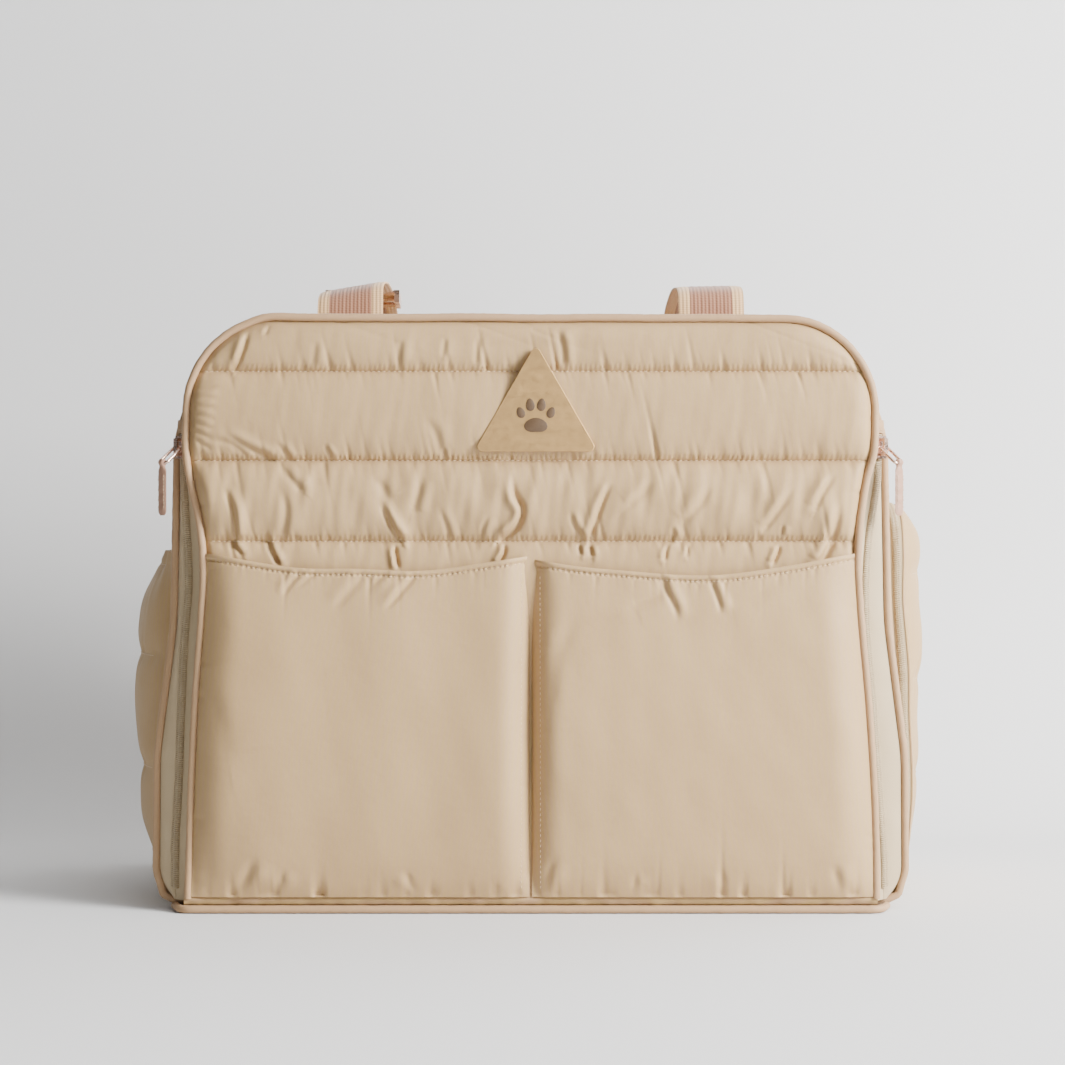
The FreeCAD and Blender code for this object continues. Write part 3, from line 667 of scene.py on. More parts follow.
def wall_piece(name, low, high, side, quilt, material, hole=None):
    """A padded part of the wall: side is 1 right, -1 left or 0 for what goes all the way across."""
    line = resample(body_outline(), 2.5)
    line = line[(line[:, 1] >= low) & (line[:, 1] <= high)]
    if side:
        line = line[line[:, 0] * side > 0]
    elif low <= 0:
        line = np.vstack([line[line[:, 0] < 0], line[line[:, 0] >= 0]])
    along = distance_along(line)
    out = away_from(line, (0, 150.0))

    share = np.linspace(0, 1, 78)
    x, z = line[:, :1], line[:, 1:]
    front = FRONT_EDGE + 0.3
    y = front + (back_at(z) - front) * share
    s = np.broadcast_to(along[:, None], y.shape)
    marks = seam_marks(line, along, quilt, side)
    puff = np.ones(y.shape)
    for a, b in zip(marks[:-1], marks[1:]):
        t = np.clip((s - a) / (b - a), 0, 1)
        puff = np.where((s >= a) & (s <= b), round_edge(np.minimum(t, 1 - t) * (b - a), 20.0), puff)
    edge = np.minimum(y - front, back_at(z) - y)
    lift = 2.6 * puff * round_edge(edge, 18.0) + 0.5 * mottle(s, y, 11, 70.0) * puff * ramp(edge, 2, 14)
    for k, mark in enumerate(marks):
        lift = lift + pucker(y, np.abs(s - mark), 30 + 3 * k, 7.0, 0.9, 6.0, 19.0) * ramp(edge, 1, 8)
    if hole:
        lift = lift * ramp(clear_of(hole, x, y), 6.0, 22.0)
    place = grid_of(x + out[:, :1] * lift, y, z + out[:, 1:] * lift)
    if low <= 0:
        place[..., 2] = np.maximum(place[..., 2], 0.0)
        # the foot reaches forward under the flap, between its corners
        lip = 19.5 * ramp(203.0 - np.abs(line[:, 0]), 0.0, 14.0) * (line[:, 1] < 1.0)
        place[..., 1] -= lip[:, None] * (1 - share) ** 4
    within = grid_of(x - out[:, :1] * PANEL, place[..., 1], z - out[:, 1:] * PANEL)
    keep = cells_clear_of(hole, x + 0 * y, y, 3.0) if hole else None
    panel(name, place, within, material, "bag_body", "shell_nylon", name.replace("quilt", "panel"), keep=keep,
          fill=0.5)
    for mark in marks[1:-1]:
        row = nearest(along, mark)
        line_out = np.array([out[row, 0], 0, out[row, 1]])
        path = place[row, 2:-2] + line_out * 0.1
        # the stitches stop short of a window
        clear = clear_of(hole, path[:, 0], path[:, 1]) > 9 if hole else np.ones(len(path), bool)
        for block in np.split(path, np.flatnonzero(np.diff(clear.astype(int))) + 1):
            middle = block[len(block) // 2]
            if not hole or (len(block) > 4 and clear_of(hole, middle[0], middle[1]) > 9):
                wall_threads.extend(stitch_row(block, line_out))


def seam_marks(line, along, quilt, side):
    """Places along a wall piece where its quilting is sewn down, its two ends included."""
    order = np.argsort(line[:, 1 if side else 0])
    values = quilt if side else [v * s for v in quilt for s in (-1, 1)]
    marks = [np.interp(value, line[order, 1 if side else 0], along[order]) for value in values]
    return sorted([along[0], along[-1], *marks])


wall_threads = []
window_low, window_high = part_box("top_mesh")
ROOF_HOLE = (window_high.x * 1000, window_low.y * 1000, window_high.y * 1000)
for wall_name, low, high, side, quilt, cloth, hole in (
    ("base_quilt", 0.0, BASE_Z, 0, (), side_cloth, None),
    ("right_side_quilt", BASE_Z, TOP_Z, 1, WALL_SEAMS, side_cloth, None),
    ("left_side_quilt", BASE_Z, TOP_Z, -1, WALL_SEAMS, side_cloth, None),
    ("top_quilt", TOP_Z, HEIGHT + 1, 0, ROOF_SEAMS, shell_cloth, ROOF_HOLE),
):
    wall_piece(wall_name, low, high, side, quilt, cloth, hole)


# ---- front flap ---------------------------------------------------------------


def flap_half(z, hand=1):
    """Half width of the flap at height z, to the outside of its piping, on the right (1) or left (-1)."""
    side_z = np.minimum(z, SHOULDER_Z)
    low = np.where(np.asarray(hand) > 0, curve_at(RIGHT_EDGE, side_z), curve_at(LEFT_EDGE, side_z))
    up = np.clip(z - SHOULDER_Z, 0, FLAP_R)
    return low - FLAP_R + np.sqrt(FLAP_R**2 - up**2)


def flap_grid(rows, across, inset, top_inset):
    """(x, z) grids over the flap, drawn in from its edge. Above the shoulder they end on a smaller arc."""
    up = np.maximum(rows - SHOULDER_Z, 0)
    arc = SHOULDER_X - FLAP_R + np.sqrt(np.maximum((FLAP_R - top_inset) ** 2 - up**2, 0))
    ends = [np.where(rows > SHOULDER_Z, arc, flap_half(rows, hand) - inset)[:, None] for hand in (-1, 1)]
    x = np.where(across < 0, *ends) * across
    return x, np.broadcast_to(rows[:, None], x.shape)


def flap_inset(x, z):
    """Distance in from the outside of the flap's piping."""
    over = np.hypot(np.maximum(np.abs(x) - (SHOULDER_X - FLAP_R), 0), np.maximum(z - SHOULDER_Z, 0))
    corner = FLAP_R - over
    side = flap_half(np.minimum(z, SHOULDER_Z), np.sign(x)) - np.abs(x)
    return np.where(z > SHOULDER_Z, corner, side)


def quilt_rows():
    """Heights of the flap's grid: even, with a row on each seam and closer ones round the corners."""
    stops, steps = [HEM_Z, 185.0, *SEAMS], (4, 0.8, 0.8, 0.9)
    rows = [np.linspace(a, b, int((b - a) / s) + 2)[:-1] for a, b, s in zip(stops[:-1], stops[1:], steps)]
    top = FLAP_R - FLAP_SEAM
    turn = np.linspace(math.asin((SEAMS[-1] - SHOULDER_Z) / top), math.pi / 2, 44)
    return np.concatenate(rows + [SHOULDER_Z + top * np.sin(turn)])


def flap_folds(x, z):
    """The creases that the quilted cloth takes, each from its faint end to its strong one."""
    total = np.zeros(x.shape)
    for points, depth, width, ridge in (
        ([(-187, 270), (-172, 268), (-163, 262)], 0.7, 2.0, 1),
        ([(-160.5, 335), (-163.5, 322), (-168, 310.5)], 1.5, 1.7, -1),
        ([(-149, 337), (-151, 330)], 0.7, 1.3, -1),
        ([(-176.7, 275), (-160, 265), (-147, 259)], 1.2, 1.8, 1),
        ([(-146, 270), (-139, 261.6), (-136, 258.5)], 0.9, 1.5, 1),
        ([(-143.6, 257), (-137, 248), (-130, 241)], 0.8, 2.4, 1),
        ([(-118, 267.5), (-113, 259.5)], 0.9, 1.2, 1),
        ([(-49, 266), (-49, 259)], 0.7, 1.2, 1),
        ([(-174.5, 244), (-169.5, 230), (-168, 214)], 1.6, 1.9, 1),
        ([(-143, 246), (-139, 230), (-141, 215)], 0.9, 2.8, 1),
        ([(-85.5, 235), (-80.5, 223), (-74.5, 213)], 2.3, 1.9, 1),
        ([(-77.6, 211), (-77, 205), (-75.5, 197)], 1.8, 1.4, -1),
        ([(-52.5, 232), (-48, 221), (-47, 213.5)], 0.8, 1.7, 1),
        ([(-62, 250), (-64, 240), (-67, 230)], 0.6, 2.6, 1),
        ([(-91, 250), (-84, 242), (-80, 235)], 0.6, 3.0, 1),
        ([(-23, 228), (-27, 220), (-28.5, 213)], 0.7, 1.6, 1),
        ([(-151.5, 218.6), (-149, 209), (-144, 199)], 1.4, 1.6, 1),
        ([(-171.5, 213), (-165, 204.5)], 1.1, 1.5, 1),
        ([(-10.5, 254), (-9.5, 240), (-4.8, 230), (-8, 220), (-16.5, 212.8)], 2.5, 2.0, -1),
        ([(-15.5, 212), (-15, 206), (-18.5, 199)], 1.8, 1.4, -1),
        ([(22, 230), (25, 221), (29.8, 213.4)], 1.2, 1.5, 1),
        ([(46, 246), (41, 235), (33.6, 213.4)], 1.4, 1.8, -1),
        ([(72, 248), (62, 238), (55, 232)], 0.7, 2.8, -1),
        ([(104, 247), (96, 233), (86, 222)], 0.8, 2.8, -1),
        ([(80.3, 221), (81.5, 216), (80.5, 212.5)], 1.4, 1.3, 1),
        ([(150, 243), (141, 230), (133, 219)], 1.1, 2.2, -1),
        ([(174.5, 252), (166, 240), (162, 231)], 1.1, 2.2, -1),
        ([(176, 238), (174.5, 224), (171, 210), (165, 199)], 2.2, 2.6, -1),
        ([(143.5, 222), (143, 216)], 0.9, 1.2, 1),
        ([(27.5, 210.5), (28.5, 205)], 1.2, 1.2, 1),
        ([(33.5, 210.5), (35, 204)], 1.2, 1.3, 1),
        ([(78, 210.5), (76.5, 202)], 1.2, 1.3, -1),
        ([(90, 210.5), (89, 204)], 0.8, 1.2, -1),
        ([(141.5, 210.5), (141, 206), (138, 199.5)], 1.6, 1.4, -1),
        ([(14.5, 334), (18, 324), (19, 313)], 0.9, 2.0, 1),
        ([(-74, 328), (-75, 314)], 0.6, 2.0, 1),
        ([(-30, 330), (-31, 314)], 0.6, 1.8, 1),
        ([(-48.5, 329), (-50, 318)], 0.5, 1.6, 1),
        ([(-122, 327), (-124, 313)], 0.5, 2.2, 1),
        ([(-60, 283), (-54, 273), (-51, 262)], 0.6, 2.6, 1),
    ):
        total += fold(x, z, points, 1.3 * depth, 0.84 * width, ridge)
    for k in range(7):
        height = 303.5 - 5.2 * k
        crease = [(-176 - 0.8 * k, height - 3.5 - 0.9 * k), (-191.3, height + 0.5 * k - 5)]
        total += fold(x, z, crease, 0.8, 1.5, 1)
    return total


def flap_front(x, z):
    """y of the flap's quilted face."""
    inset = flap_inset(x, z)
    edge = inset - FLAP_SEAM
    lift = np.zeros(x.shape)
    stops = (120.0, *SEAMS, FLAP_TOP - 2.0)
    for low, high, full, lowest in zip(stops[:-1], stops[1:], (4.4, 8.2, 8.0, 5.6), (0.75, 0.6, 0.5, 0.5)):
        t = np.clip((z - low) / (high - low), 0, 1)
        # fullest a little below the middle of each channel, and tight at both seams
        bent = np.where(t < lowest, 0.5 * t / lowest, 0.5 + 0.5 * (t - lowest) / (1 - lowest))
        puff = (1 - np.abs(2 * bent - 1) ** 2.3) ** 0.72
        lift += np.where((z > low) & (z <= high), full * puff, 0)
    lift *= 1 - 0.34 * np.exp(-(((x - 2.9) / 46) ** 2)) * ramp(z, 250, 262) * (1 - ramp(z, 322, 334))
    lift = lift * round_edge(edge, 15.0, 2.8) * ramp(z, 125, 200)
    quiet = ramp(edge, 0.0, 9.0)
    loose = np.exp(-(((z - 235.0) / 26.0) ** 2))
    lift += quiet * 0.45 * mottle(x, z * 0.7, 5, 74.0)
    lift += quiet * (0.12 + 0.42 * loose) * mottle(x * 1.6, z * 0.75, 8, 30.0)
    lift += quiet * 0.16 * mottle(x * 1.8, z * 0.5, 9, 13.0) * (0.4 + loose)
    for k, (seam, above, below) in enumerate(zip(SEAMS, (5.0, 7.5, 7.0), (4.5, 7.0, 4.5))):
        gap = z - seam
        along = x + 0.22 * gap
        lift += np.where(gap > 0, pucker(along, np.abs(gap), 60 + 7 * k, above, 1.25), 0) * quiet
        lift += np.where(gap < 0, pucker(along, np.abs(gap), 80 + 7 * k, below, 0.95), 0) * quiet
    around = np.where(z > SHOULDER_Z, z + x * 0.4, z)
    lift += pucker(around * np.where(x > 0, 1, 1.03), np.maximum(edge, 0), 101, 4.5, 0.75, 5.5, 17.0)
    lift += flap_folds(x, z) * ramp(edge, -0.5, 6.0) * ramp(z, 192, 200)
    # each stitch pulls a short dent into the cloth above its seam
    pull = np.clip(np.cos(2 * np.pi * x / 2.8) + 0.35, 0, 1.35) / 1.35
    groove = sum(0.5 * np.exp(-(((z - seam) / 1.0) ** 2)) for seam in SEAMS)
    groove = groove + sum(0.85 * pull * np.exp(-(((z - seam - 1.9) / 1.1) ** 2)) for seam in SEAMS)
    base = -109.6 + 1.9 * (1 - ramp(edge, 0.0, 5.0))
    return base - np.maximum(lift, -0.6) + groove * quiet


def make_flap():
    x, z = flap_grid(quilt_rows(), np.linspace(-1, 1, 421), FLAP_SEAM, FLAP_SEAM)
    front = grid_of(x, flap_front(x, z), z)
    back = grid_of(x * 0.998, FLAP_BACK - 0.2, z)
    panel("flap_quilt", front, back, shell_cloth, "flap", "shell_nylon", "flap_panel", fill=0.6)

    threads = []
    for seam in SEAMS:
        span = np.arange(-flap_half(seam, -1) + 6.0, flap_half(seam) - 6.0, 1.0)
        path = grid_of(span, flap_front(span, seam + 0 * span) - 0.25, seam)
        threads += stitch_row(path, AHEAD, long=1.9, wide=0.3, high=0.24)
    sew("flap_stitches", threads, "flap")

    heights = np.arange(HEM_Z, SHOULDER_Z, 3.0)
    turns = np.radians(np.arange(0, 90.1, 4))
    halves = []
    for hand in (1, -1):
        corner = np.stack([SHOULDER_X - FLAP_R + (FLAP_R - CORD_R) * np.cos(turns),
                           SHOULDER_Z + (FLAP_R - CORD_R) * np.sin(turns)], 1)
        side = np.stack([flap_half(heights, hand) - CORD_R, heights], 1)
        halves.append(np.vstack([side, corner]) * (hand, 1))
    x, z = resample(np.vstack([halves[0], halves[1][::-1]]), 3.0).T
    # the top edge waves a little and drops to the right
    z = z + ramp(z, FLAP_TOP - 6.0, FLAP_TOP - 2.4) * (0.3 * ripple(x, 19, 70.0, 260.0) - 0.003 * x)
    piping("flap_edge_piping", "flap_piping", grid_of(x, FLAP_FRONT + CORD_R, z), "flap", seed=4)

    x, z = flap_grid(np.linspace(HEM_Z + 1, 335.5, 110), np.linspace(-1, 1, 120), 6.5, 6.0)
    low, high = box_mm("flap_lining")
    face = high[1] + 0.25 * mottle(x, z, 21, 60.0) * round_edge(flap_inset(x, z) - 6, 20.0)
    panel("flap_inner_lining", grid_of(x, face, z), grid_of(x, low[1], z), lining_cloth, "flap",
          "lining_nylon", "flap_lining")


make_flap()


# ---- front pockets ------------------------------------------------------------

MOUTH_LEFT = [(-192, 205.6), (-187, 205.2), (-150, 199.2), (-133, 197.0), (-100, 196.4), (-57.6, 195.5),
              (-28, 199.5), (-1, 203.6)]
# how far the pouches stand out from the flap at each height
POUCH_DEPTH = [(9, 1.6), (16, 4.6), (26, 7.4), (45, 10.0), (90, 12.6), (140, 12.4), (180, 9.8), (206, 7.6)]
MOUTH_RIGHT = [(0, 202.0), (25, 198.0), (51, 195.5), (108, 193.0), (140, 197.0), (185, 205.0), (192, 206.0)]


def make_pocket(name, side, mouth, folds, seed):
    """One of the two pouches sewn on the flap: a hemmed mouth and a full, smooth face."""
    hem = np.concatenate([np.linspace(0, 7.0, 15)[:-1], np.linspace(7.0, 22.0, 16)[:-1]])
    share = np.linspace(0, 1, 120)
    across = np.concatenate([np.linspace(0, 0.05, 9)[:-1], np.linspace(0.05, 0.95, 205)[:-1],
                             np.linspace(0.95, 1.0, 9)])
    edge_in, piping_gap, foot = 0.7, 4.3, 9.2
    top_out = float(flap_half(204.0, side)) - piping_gap
    rim = curve_at(mouth, side * (edge_in + (top_out - edge_in) * across))
    z = np.vstack([rim - hem[:, None], rim - 22.0 + (foot - rim + 22.0) * share[:, None]])
    edge_out = flap_half(z, side) - piping_gap
    x = edge_in + (edge_out - edge_in) * across
    inner, outer, below, above = x - edge_in, edge_out - x, rim - z, z - foot
    face = curve_at(POUCH_DEPTH, z) * round_edge(inner, 20.0, 2.6) * round_edge(outer, 24.0, 2.4)
    quiet = ramp(np.minimum(inner, outer), 0, 12) * ramp(above, 0, 14)
    face += quiet * 0.55 * mottle(x * side, z, seed, 95.0)
    face += quiet * 0.16 * mottle(x * side * 1.2, z, seed + 1, 34.0)
    dash = np.clip(np.cos(2 * np.pi * x / 3.0) + 0.5, 0, 1.5) / 1.5
    face += 0.7 * np.exp(-(((below - 1.2) / 1.3) ** 2))
    face -= (0.45 + 1.0 * dash) * np.exp(-(((below - 3.4) / 0.8) ** 2))
    face += pucker(x, np.maximum(below - 3.9, 0), seed + 2, 5.0, 0.55, 6.0, 22.0) * quiet
    face += pucker(x, np.maximum(above, 0), seed + 4, 8.5, 1.9, 11.0, 38.0)
    face += pucker(z, np.maximum(outer, 0), seed + 6, 5.0, 0.8, 8.0, 30.0)
    face += pucker(z, np.maximum(inner, 0), seed + 8, 4.0, 0.6, 8.0, 30.0)
    for crease in folds:
        face += fold(x * side, z, *crease) * quiet
    y = -110.9 - np.maximum(face, 0.0)
    front = grid_of(x * side, y, z)
    back = grid_of(x * side, np.minimum(y + 1.7, -110.2), z)
    node = name.replace("pouch", "front_pocket")
    panel(name, front, back, pouch_cloth[side], "flap", "shell_nylon", node, fill=0.5)

    row = nearest(below[:, 0], 3.4)
    threads = stitch_row(front[row, 3:-3] + AHEAD * 0.02, AHEAD, long=1.8, wide=0.28, high=0.22)
    # a second row runs down the pouch's inner edge
    threads += stitch_row(front[14:-2, 4] - AHEAD * 0.12, AHEAD, long=1.8, wide=0.28, high=0.22)
    sew(name + "_stitches", threads, "flap")


make_pocket("right_pouch", 1, MOUTH_RIGHT, (
    ([(84, 192), (70, 181), (58, 176)], 0.7, 3.4, 1),
    ([(83.5, 165), (82, 174), (77, 184), (75.3, 190)], 1.5, 1.8, -1),
    ([(108, 170), (106.6, 178), (102.5, 189)], 1.3, 1.6, -1),
    ([(30, 176), (16, 150), (10, 118)], 0.7, 5.0, -1),
    ([(150, 196), (130, 183), (112, 178)], 0.5, 4.0, 1),
    ([(16, 34), (10, 24), (8, 13)], 1.2, 2.6, 1),
    ([(172, 30), (176, 12)], 1.2, 2.6, 1),
    ([(60, 24), (58, 11)], 1.0, 2.0, 1),
    ([(108, 26), (111, 11)], 0.9, 2.2, -1),
), 140)
make_pocket("left_pouch", -1, MOUTH_LEFT, (
    ([(-92, 185), (-86, 190.5), (-82, 193.5)], 0.8, 1.7, -1),
    ([(-141, 180), (-137, 187), (-131, 193.6)], 1.1, 1.6, 1),
    ([(-84, 172), (-75.7, 181), (-66, 192)], 1.2, 1.8, 1),
    ([(-114, 172), (-105, 181), (-95, 192)], 0.8, 2.6, 1),
    ([(-135, 184), (-126, 191), (-122, 194)], 0.7, 1.5, 1),
    ([(-186, 130), (-176, 110), (-172, 90)], 0.6, 6.0, 1),
    ([(-155, 34), (-166, 12)], 1.5, 3.2, 1),
    ([(-140, 27), (-144, 11)], 1.0, 2.2, 1),
    ([(-72, 26), (-66, 11)], 1.2, 2.2, -1),
    ([(-21, 18), (-18, 10)], 0.8, 1.8, 1),
), 170)


# ---- badge --------------------------------------------------------------------


def prism(outline, low, high, bevel):
    """Points and faces of a plate with an eased front rim: outline is (x, z), from y = high to low."""
    outline = np.asarray(outline, float)
    middle = outline.mean(0)
    size = np.linalg.norm(outline - middle, axis=1).mean()
    rings = [(outline, high), (outline, low + bevel)]
    rings += [(middle + (outline - middle) * (1 - k * bevel / size), low + (0.3 if k < 1 else 0) * bevel)
              for k in (0.3, 1.0)]
    verts = np.vstack([grid_of(ring[:, 0], y, ring[:, 1]) for ring, y in rings])
    n = len(outline)
    faces = [list(range(n)), list(range(4 * n - 1, 3 * n - 1, -1))]
    for k in range(0, 3 * n, n):
        faces += [[k + i, k + (i + 1) % n, k + n + (i + 1) % n, k + n + i] for i in range(n)]
    return verts, faces


def bean(x, z, wide, high, tilt):
    """An egg-shaped outline for the emblem."""
    a = np.radians(np.arange(0, 360, 10))
    u, v = wide * np.cos(a) * (1 - 0.18 * np.sin(a)), high * np.sin(a)
    t = math.radians(tilt)
    return np.stack([x + u * math.cos(t) - v * math.sin(t), z + u * math.sin(t) + v * math.cos(t)], 1)


def make_badge():
    """A triangular plate with a paw that belongs to no maker."""
    face_y = -116.4
    outline = rounded([(-32.4, 263.0), (38.2, 263.0), (2.9, 324.5)], [2.8] * 3, turn_step=8.0)
    plate = make_piece("badge_face", *prism(outline, face_y, -114.9, 0.3), badge_gold, "flap", sharp=18.0)
    stand_in(plate, "badge", "badge_plate")
    cx, cz = 2.9, 281.0
    toes = ((-1, 8.6, 4.2, 2.3, 3.2, 22), (-1, 3.2, 8.6, 2.5, 3.6, 6), (1, 3.2, 8.6, 2.5, 3.6, 6),
            (1, 8.6, 4.2, 2.3, 3.2, 22))
    shapes = [bean(cx + side * x, cz + z, *size, -side * tilt) for side, x, z, *size, tilt in toes]
    a = np.radians(np.arange(0, 360, 6))
    pad_r = 5.6 * (1 + 0.16 * np.cos(2 * a) - 0.12 * np.sin(a) + 0.07 * np.cos(3 * (a - np.pi / 2)))
    shapes.append(np.stack([cx + pad_r * np.cos(a), cz - 2.6 + 0.86 * pad_r * np.sin(a)], 1))
    paw = gather([prism(shape, face_y - 0.22, face_y + 0.2, 0.1) for shape in shapes])
    make_piece("badge_paw", *paw, emblem_brown, "flap", sharp=60.0)


make_badge()


# ---- main zips ----------------------------------------------------------------


def across_chain(hand, z, distance, out=0.0):
    """Points of a main chain, distance towards the body and out from its face, before any mirroring."""
    tx, ty = CHAIN_T
    z = np.asarray(z, float)
    half = curve_at(RIGHT_CHAIN if hand > 0 else LEFT_CHAIN, z)
    return np.stack([half + tx * distance + ty * out, CHAIN_Y + ty * distance - tx * out + 0 * z, z], -1)


def make_coil(name, node, places, side, body):
    """Coil turns as small bent wires. places gives a point for (distance, out) at each turn."""
    near, far = 0.2, 2.4
    bends = [(far, -0.5), (far, 0.7), (far - 0.7, 1.25), (near, 1.3), (-0.35, 0.75), (-0.3, -0.2)]
    turns = [tube_parts([place(side * d, out) for d, out in bends], 0.46, 6) for place in places]
    stand_in(make_piece(name, *gather(turns), coil_plastic, body), "zip_coil", node)


def make_main_zip(hand):
    """Tapes and coils of one main zip: hand is 1 on the right, -1 on the left."""
    name = "right" if hand > 0 else "left"
    flip = (hand, 1, 1)
    inward = np.array([-CHAIN_T[1], CHAIN_T[0], 0])

    def strip(part, z, start, end, body, bow, columns):
        share = np.linspace(0, 1, columns)[None, :, None]
        swell = bow * np.sin(np.pi * share) * (1 + 0.25 * ripple(z, 7, 14.0, 60.0)[:, None, None])
        grid = start[:, None] + (end - start)[:, None] * share - swell * inward
        panel(f"{name}_{part}_zip_tape", grid * flip, (grid + 0.7 * inward) * flip, tape, body, "zip_tape",
              f"{name}_{part}_tape")

    z = np.arange(HEM_Z - 2.0, FLAP_CHAIN_TOP + 0.1, 2.0)
    edge = grid_of(flap_half(z, hand) - 3.0, -105.6, z)
    strip("flap", z, edge, across_chain(hand, z, -0.12, -0.55), "flap", 0.3, 10)
    z = np.arange(HEM_Z - 2.0, BODY_CHAIN_TOP + 0.1, 2.0)
    seam = grid_of(body_half(z) - 3.4, -93.4, z)
    strip("body", z, across_chain(hand, z, 0.12, -0.55), seam, "bag_body", 0.9, 16)

    for part, side, high, shift, body in (
        ("flap", -1, FLAP_CHAIN_TOP, 0.0, "flap"),
        ("body", 1, BODY_CHAIN_TOP, PITCH / 2, "bag_body"),
    ):
        heights = np.arange(CHAIN_LOW + 1.0 + shift, high - 0.5, PITCH)
        teeth = [lambda d, o, z=z: across_chain(hand, z, d, o) * flip for z in heights]
        make_coil(f"{name}_{part}_zip_coil", f"{name}_{part}_coil", teeth, side, body)


for hand in (-1, 1):
    make_main_zip(hand)


def pull_tab(name, node, body, way, facing):
    """A folded, stitched strap in the place of a CAD pull tab. way is across the tab, facing out of it."""
    low, high = box_mm(node)
    way, facing = np.array(way, float), np.array(facing, float)
    down = np.cross(way, facing)
    down *= -np.sign(down[2])
    centre = (low + high) / 2
    centre = centre - down * ((high[2] - centre[2]) / abs(down[2]))
    along = np.linspace(0, (high[2] - low[2]) / abs(down[2]), 34)
    across = np.linspace(-1, 1, 15)
    neck = ramp(along, 4.0, 7.0)
    tip = np.sqrt(np.clip(1 - np.clip((along - along[-1] + 2.6) / 2.7, 0, 1) ** 2, 0.02, 1))
    half = (2.3 + 1.2 * neck) * (0.35 + 0.65 * tip)
    # round where it folds over the link, flat below
    thick = np.where(along < 4.2, 2.0 * np.sqrt(np.clip(1 - ((along - 2.1) / 2.15) ** 2, 0.03, 1)), 0)
    thick = np.maximum(thick, 1.0 + 0.18 * np.cos(along * 1.1)) * (0.5 + 0.5 * tip)
    from_edge = half[:, None] * (1 - np.abs(across))
    groove = 0.22 * np.exp(-(((from_edge - 1.1) / 0.28) ** 2)) * neck[:, None]
    rise = ((1 - across**4) * thick[:, None] - groove)[..., None]
    spot = centre + down * along[:, None]
    grid = spot[:, None] + way * (across * half[:, None])[..., None]
    panel(name, grid + facing * rise, grid - facing * rise, tab_leather, body, "pull_leather", node)
    rows = slice(8, -3)
    threads = []
    for s in (-1, 1):
        line = spot[rows] + way * (s * (half[rows] - 1.1))[:, None] + facing * (thick[rows] * 0.92)[:, None]
        threads += stitch_row(line, facing, 1.9, 1.25, 0.17, 0.17, 0.0)
    sew(name + "_stitches", threads, body)


tx, ty = CHAIN_T
pull_tab("left_pull_strap", "left_pull_tab", "left_zip_tab", (-tx, ty, 0), (-ty, -tx, 0))
pull_tab("right_pull_strap", "right_pull_tab", "right_zip_tab", (tx, ty, 0), (ty, -tx, 0))
slope = (math.cos(SIDE_TILT), 0, math.sin(SIDE_TILT))
pull_tab("pocket_pull_strap", "pocket_pull_tab", "pocket_zip_tab", slope, (0, 1, 0))


def end_tab(hand):
    """The folded fabric tab that closes the top of a main zip."""
    name = "right" if hand > 0 else "left"
    low, high = box_mm(f"{name}_zip_end_tab")
    z = np.linspace(low[2], high[2], 10)
    start, end = -3.7, 5.2
    across = np.linspace(start, end, 12)
    rise = np.sqrt(np.clip(1 - (2 * (across - start) / (end - start) - 1) ** 4, 0.02, 1))
    swell = 1.1 + 0.7 * np.sin(np.pi * (z - z[0]) / (z[-1] - z[0]))[:, None] * rise
    tx, ty = CHAIN_T
    flip = np.array([hand, 1, 1])
    grid = grid_of(CHAIN_X + tx * across, CHAIN_Y + ty * across, z[:, None]) * flip
    outward = np.array([ty, -tx, 0]) * flip
    lift = outward * (swell * rise)[..., None]
    panel(f"{name}_end_patch", grid + lift, grid - 0.8 * lift, cord_cloth, "bag_body", "shell_nylon",
          f"{name}_zip_end_tab")
    threads = stitch_row((grid + lift)[2, 2:-2] + outward * 0.15, outward, 1.8, 1.2, 0.2, 0.2)
    sew(f"{name}_end_patch_stitches", threads, "bag_body")


for hand in (-1, 1):
    end_tab(hand)


# ---- body trim ----------------------------------------------------------------


def make_trim():
    """Piping round the front rim, binding along the foot of the front and piping round the back."""
    ring = body_outline(1.0)
    right = ring[(ring[:, 0] > 0) & (ring[:, 1] > 15.0)]
    foot = [(196.0, 4.4), (206.0, 5.0), (212.4, 8.0)]
    side = np.vstack([foot, right[np.argsort(right[:, 1])]])
    x, z = np.vstack([side, side[::-1] * (-1, 1)]).T
    piping("front_rim_piping", "body_piping", grid_of(x, FRONT_EDGE - CORD_R - 0.2, z), "bag_body", seed=13)

    front = FLAP_FRONT - 0.2
    hem = [(-205.0, -97.0), (-200.0, front), (200.0, front), (205.0, -97.0)]
    x, y = rounded(hem, [0, 9.0, 9.0, 0], closed=False).T
    piping("foot_binding", "bottom_binding", grid_of(x, y, CORD_R), "bag_body", seed=17)

    x, z = resample(body_outline(CORD_R)[:-1], 3.0, closed=True).T
    path = grid_of(x, back_at(z, BACK_THICK + CORD_R), z * math.cos(BACK_LEAN) + 0.4)
    piping("back_rim_piping", "back_piping", path, "bag_body", closed=True, seed=23)


make_trim()


# ---- back and nets ------------------------------------------------------------


def outline_grid(inset, rows, columns):
    """(x, z) grids filling the body's outline."""
    low, high = inset, HEIGHT - inset
    turn = math.pi / 2
    z = np.concatenate([low + (30 - low) * (1 - np.cos(np.linspace(0, turn, 12)[:-1])),
                        np.linspace(30, 262, rows)[:-1],
                        262 + (high - 262) * np.sin(np.linspace(0, turn, 26))])
    x = body_half(z, inset)[:, None] * np.linspace(-1, 1, columns)
    return x, np.broadcast_to(z[:, None], x.shape)


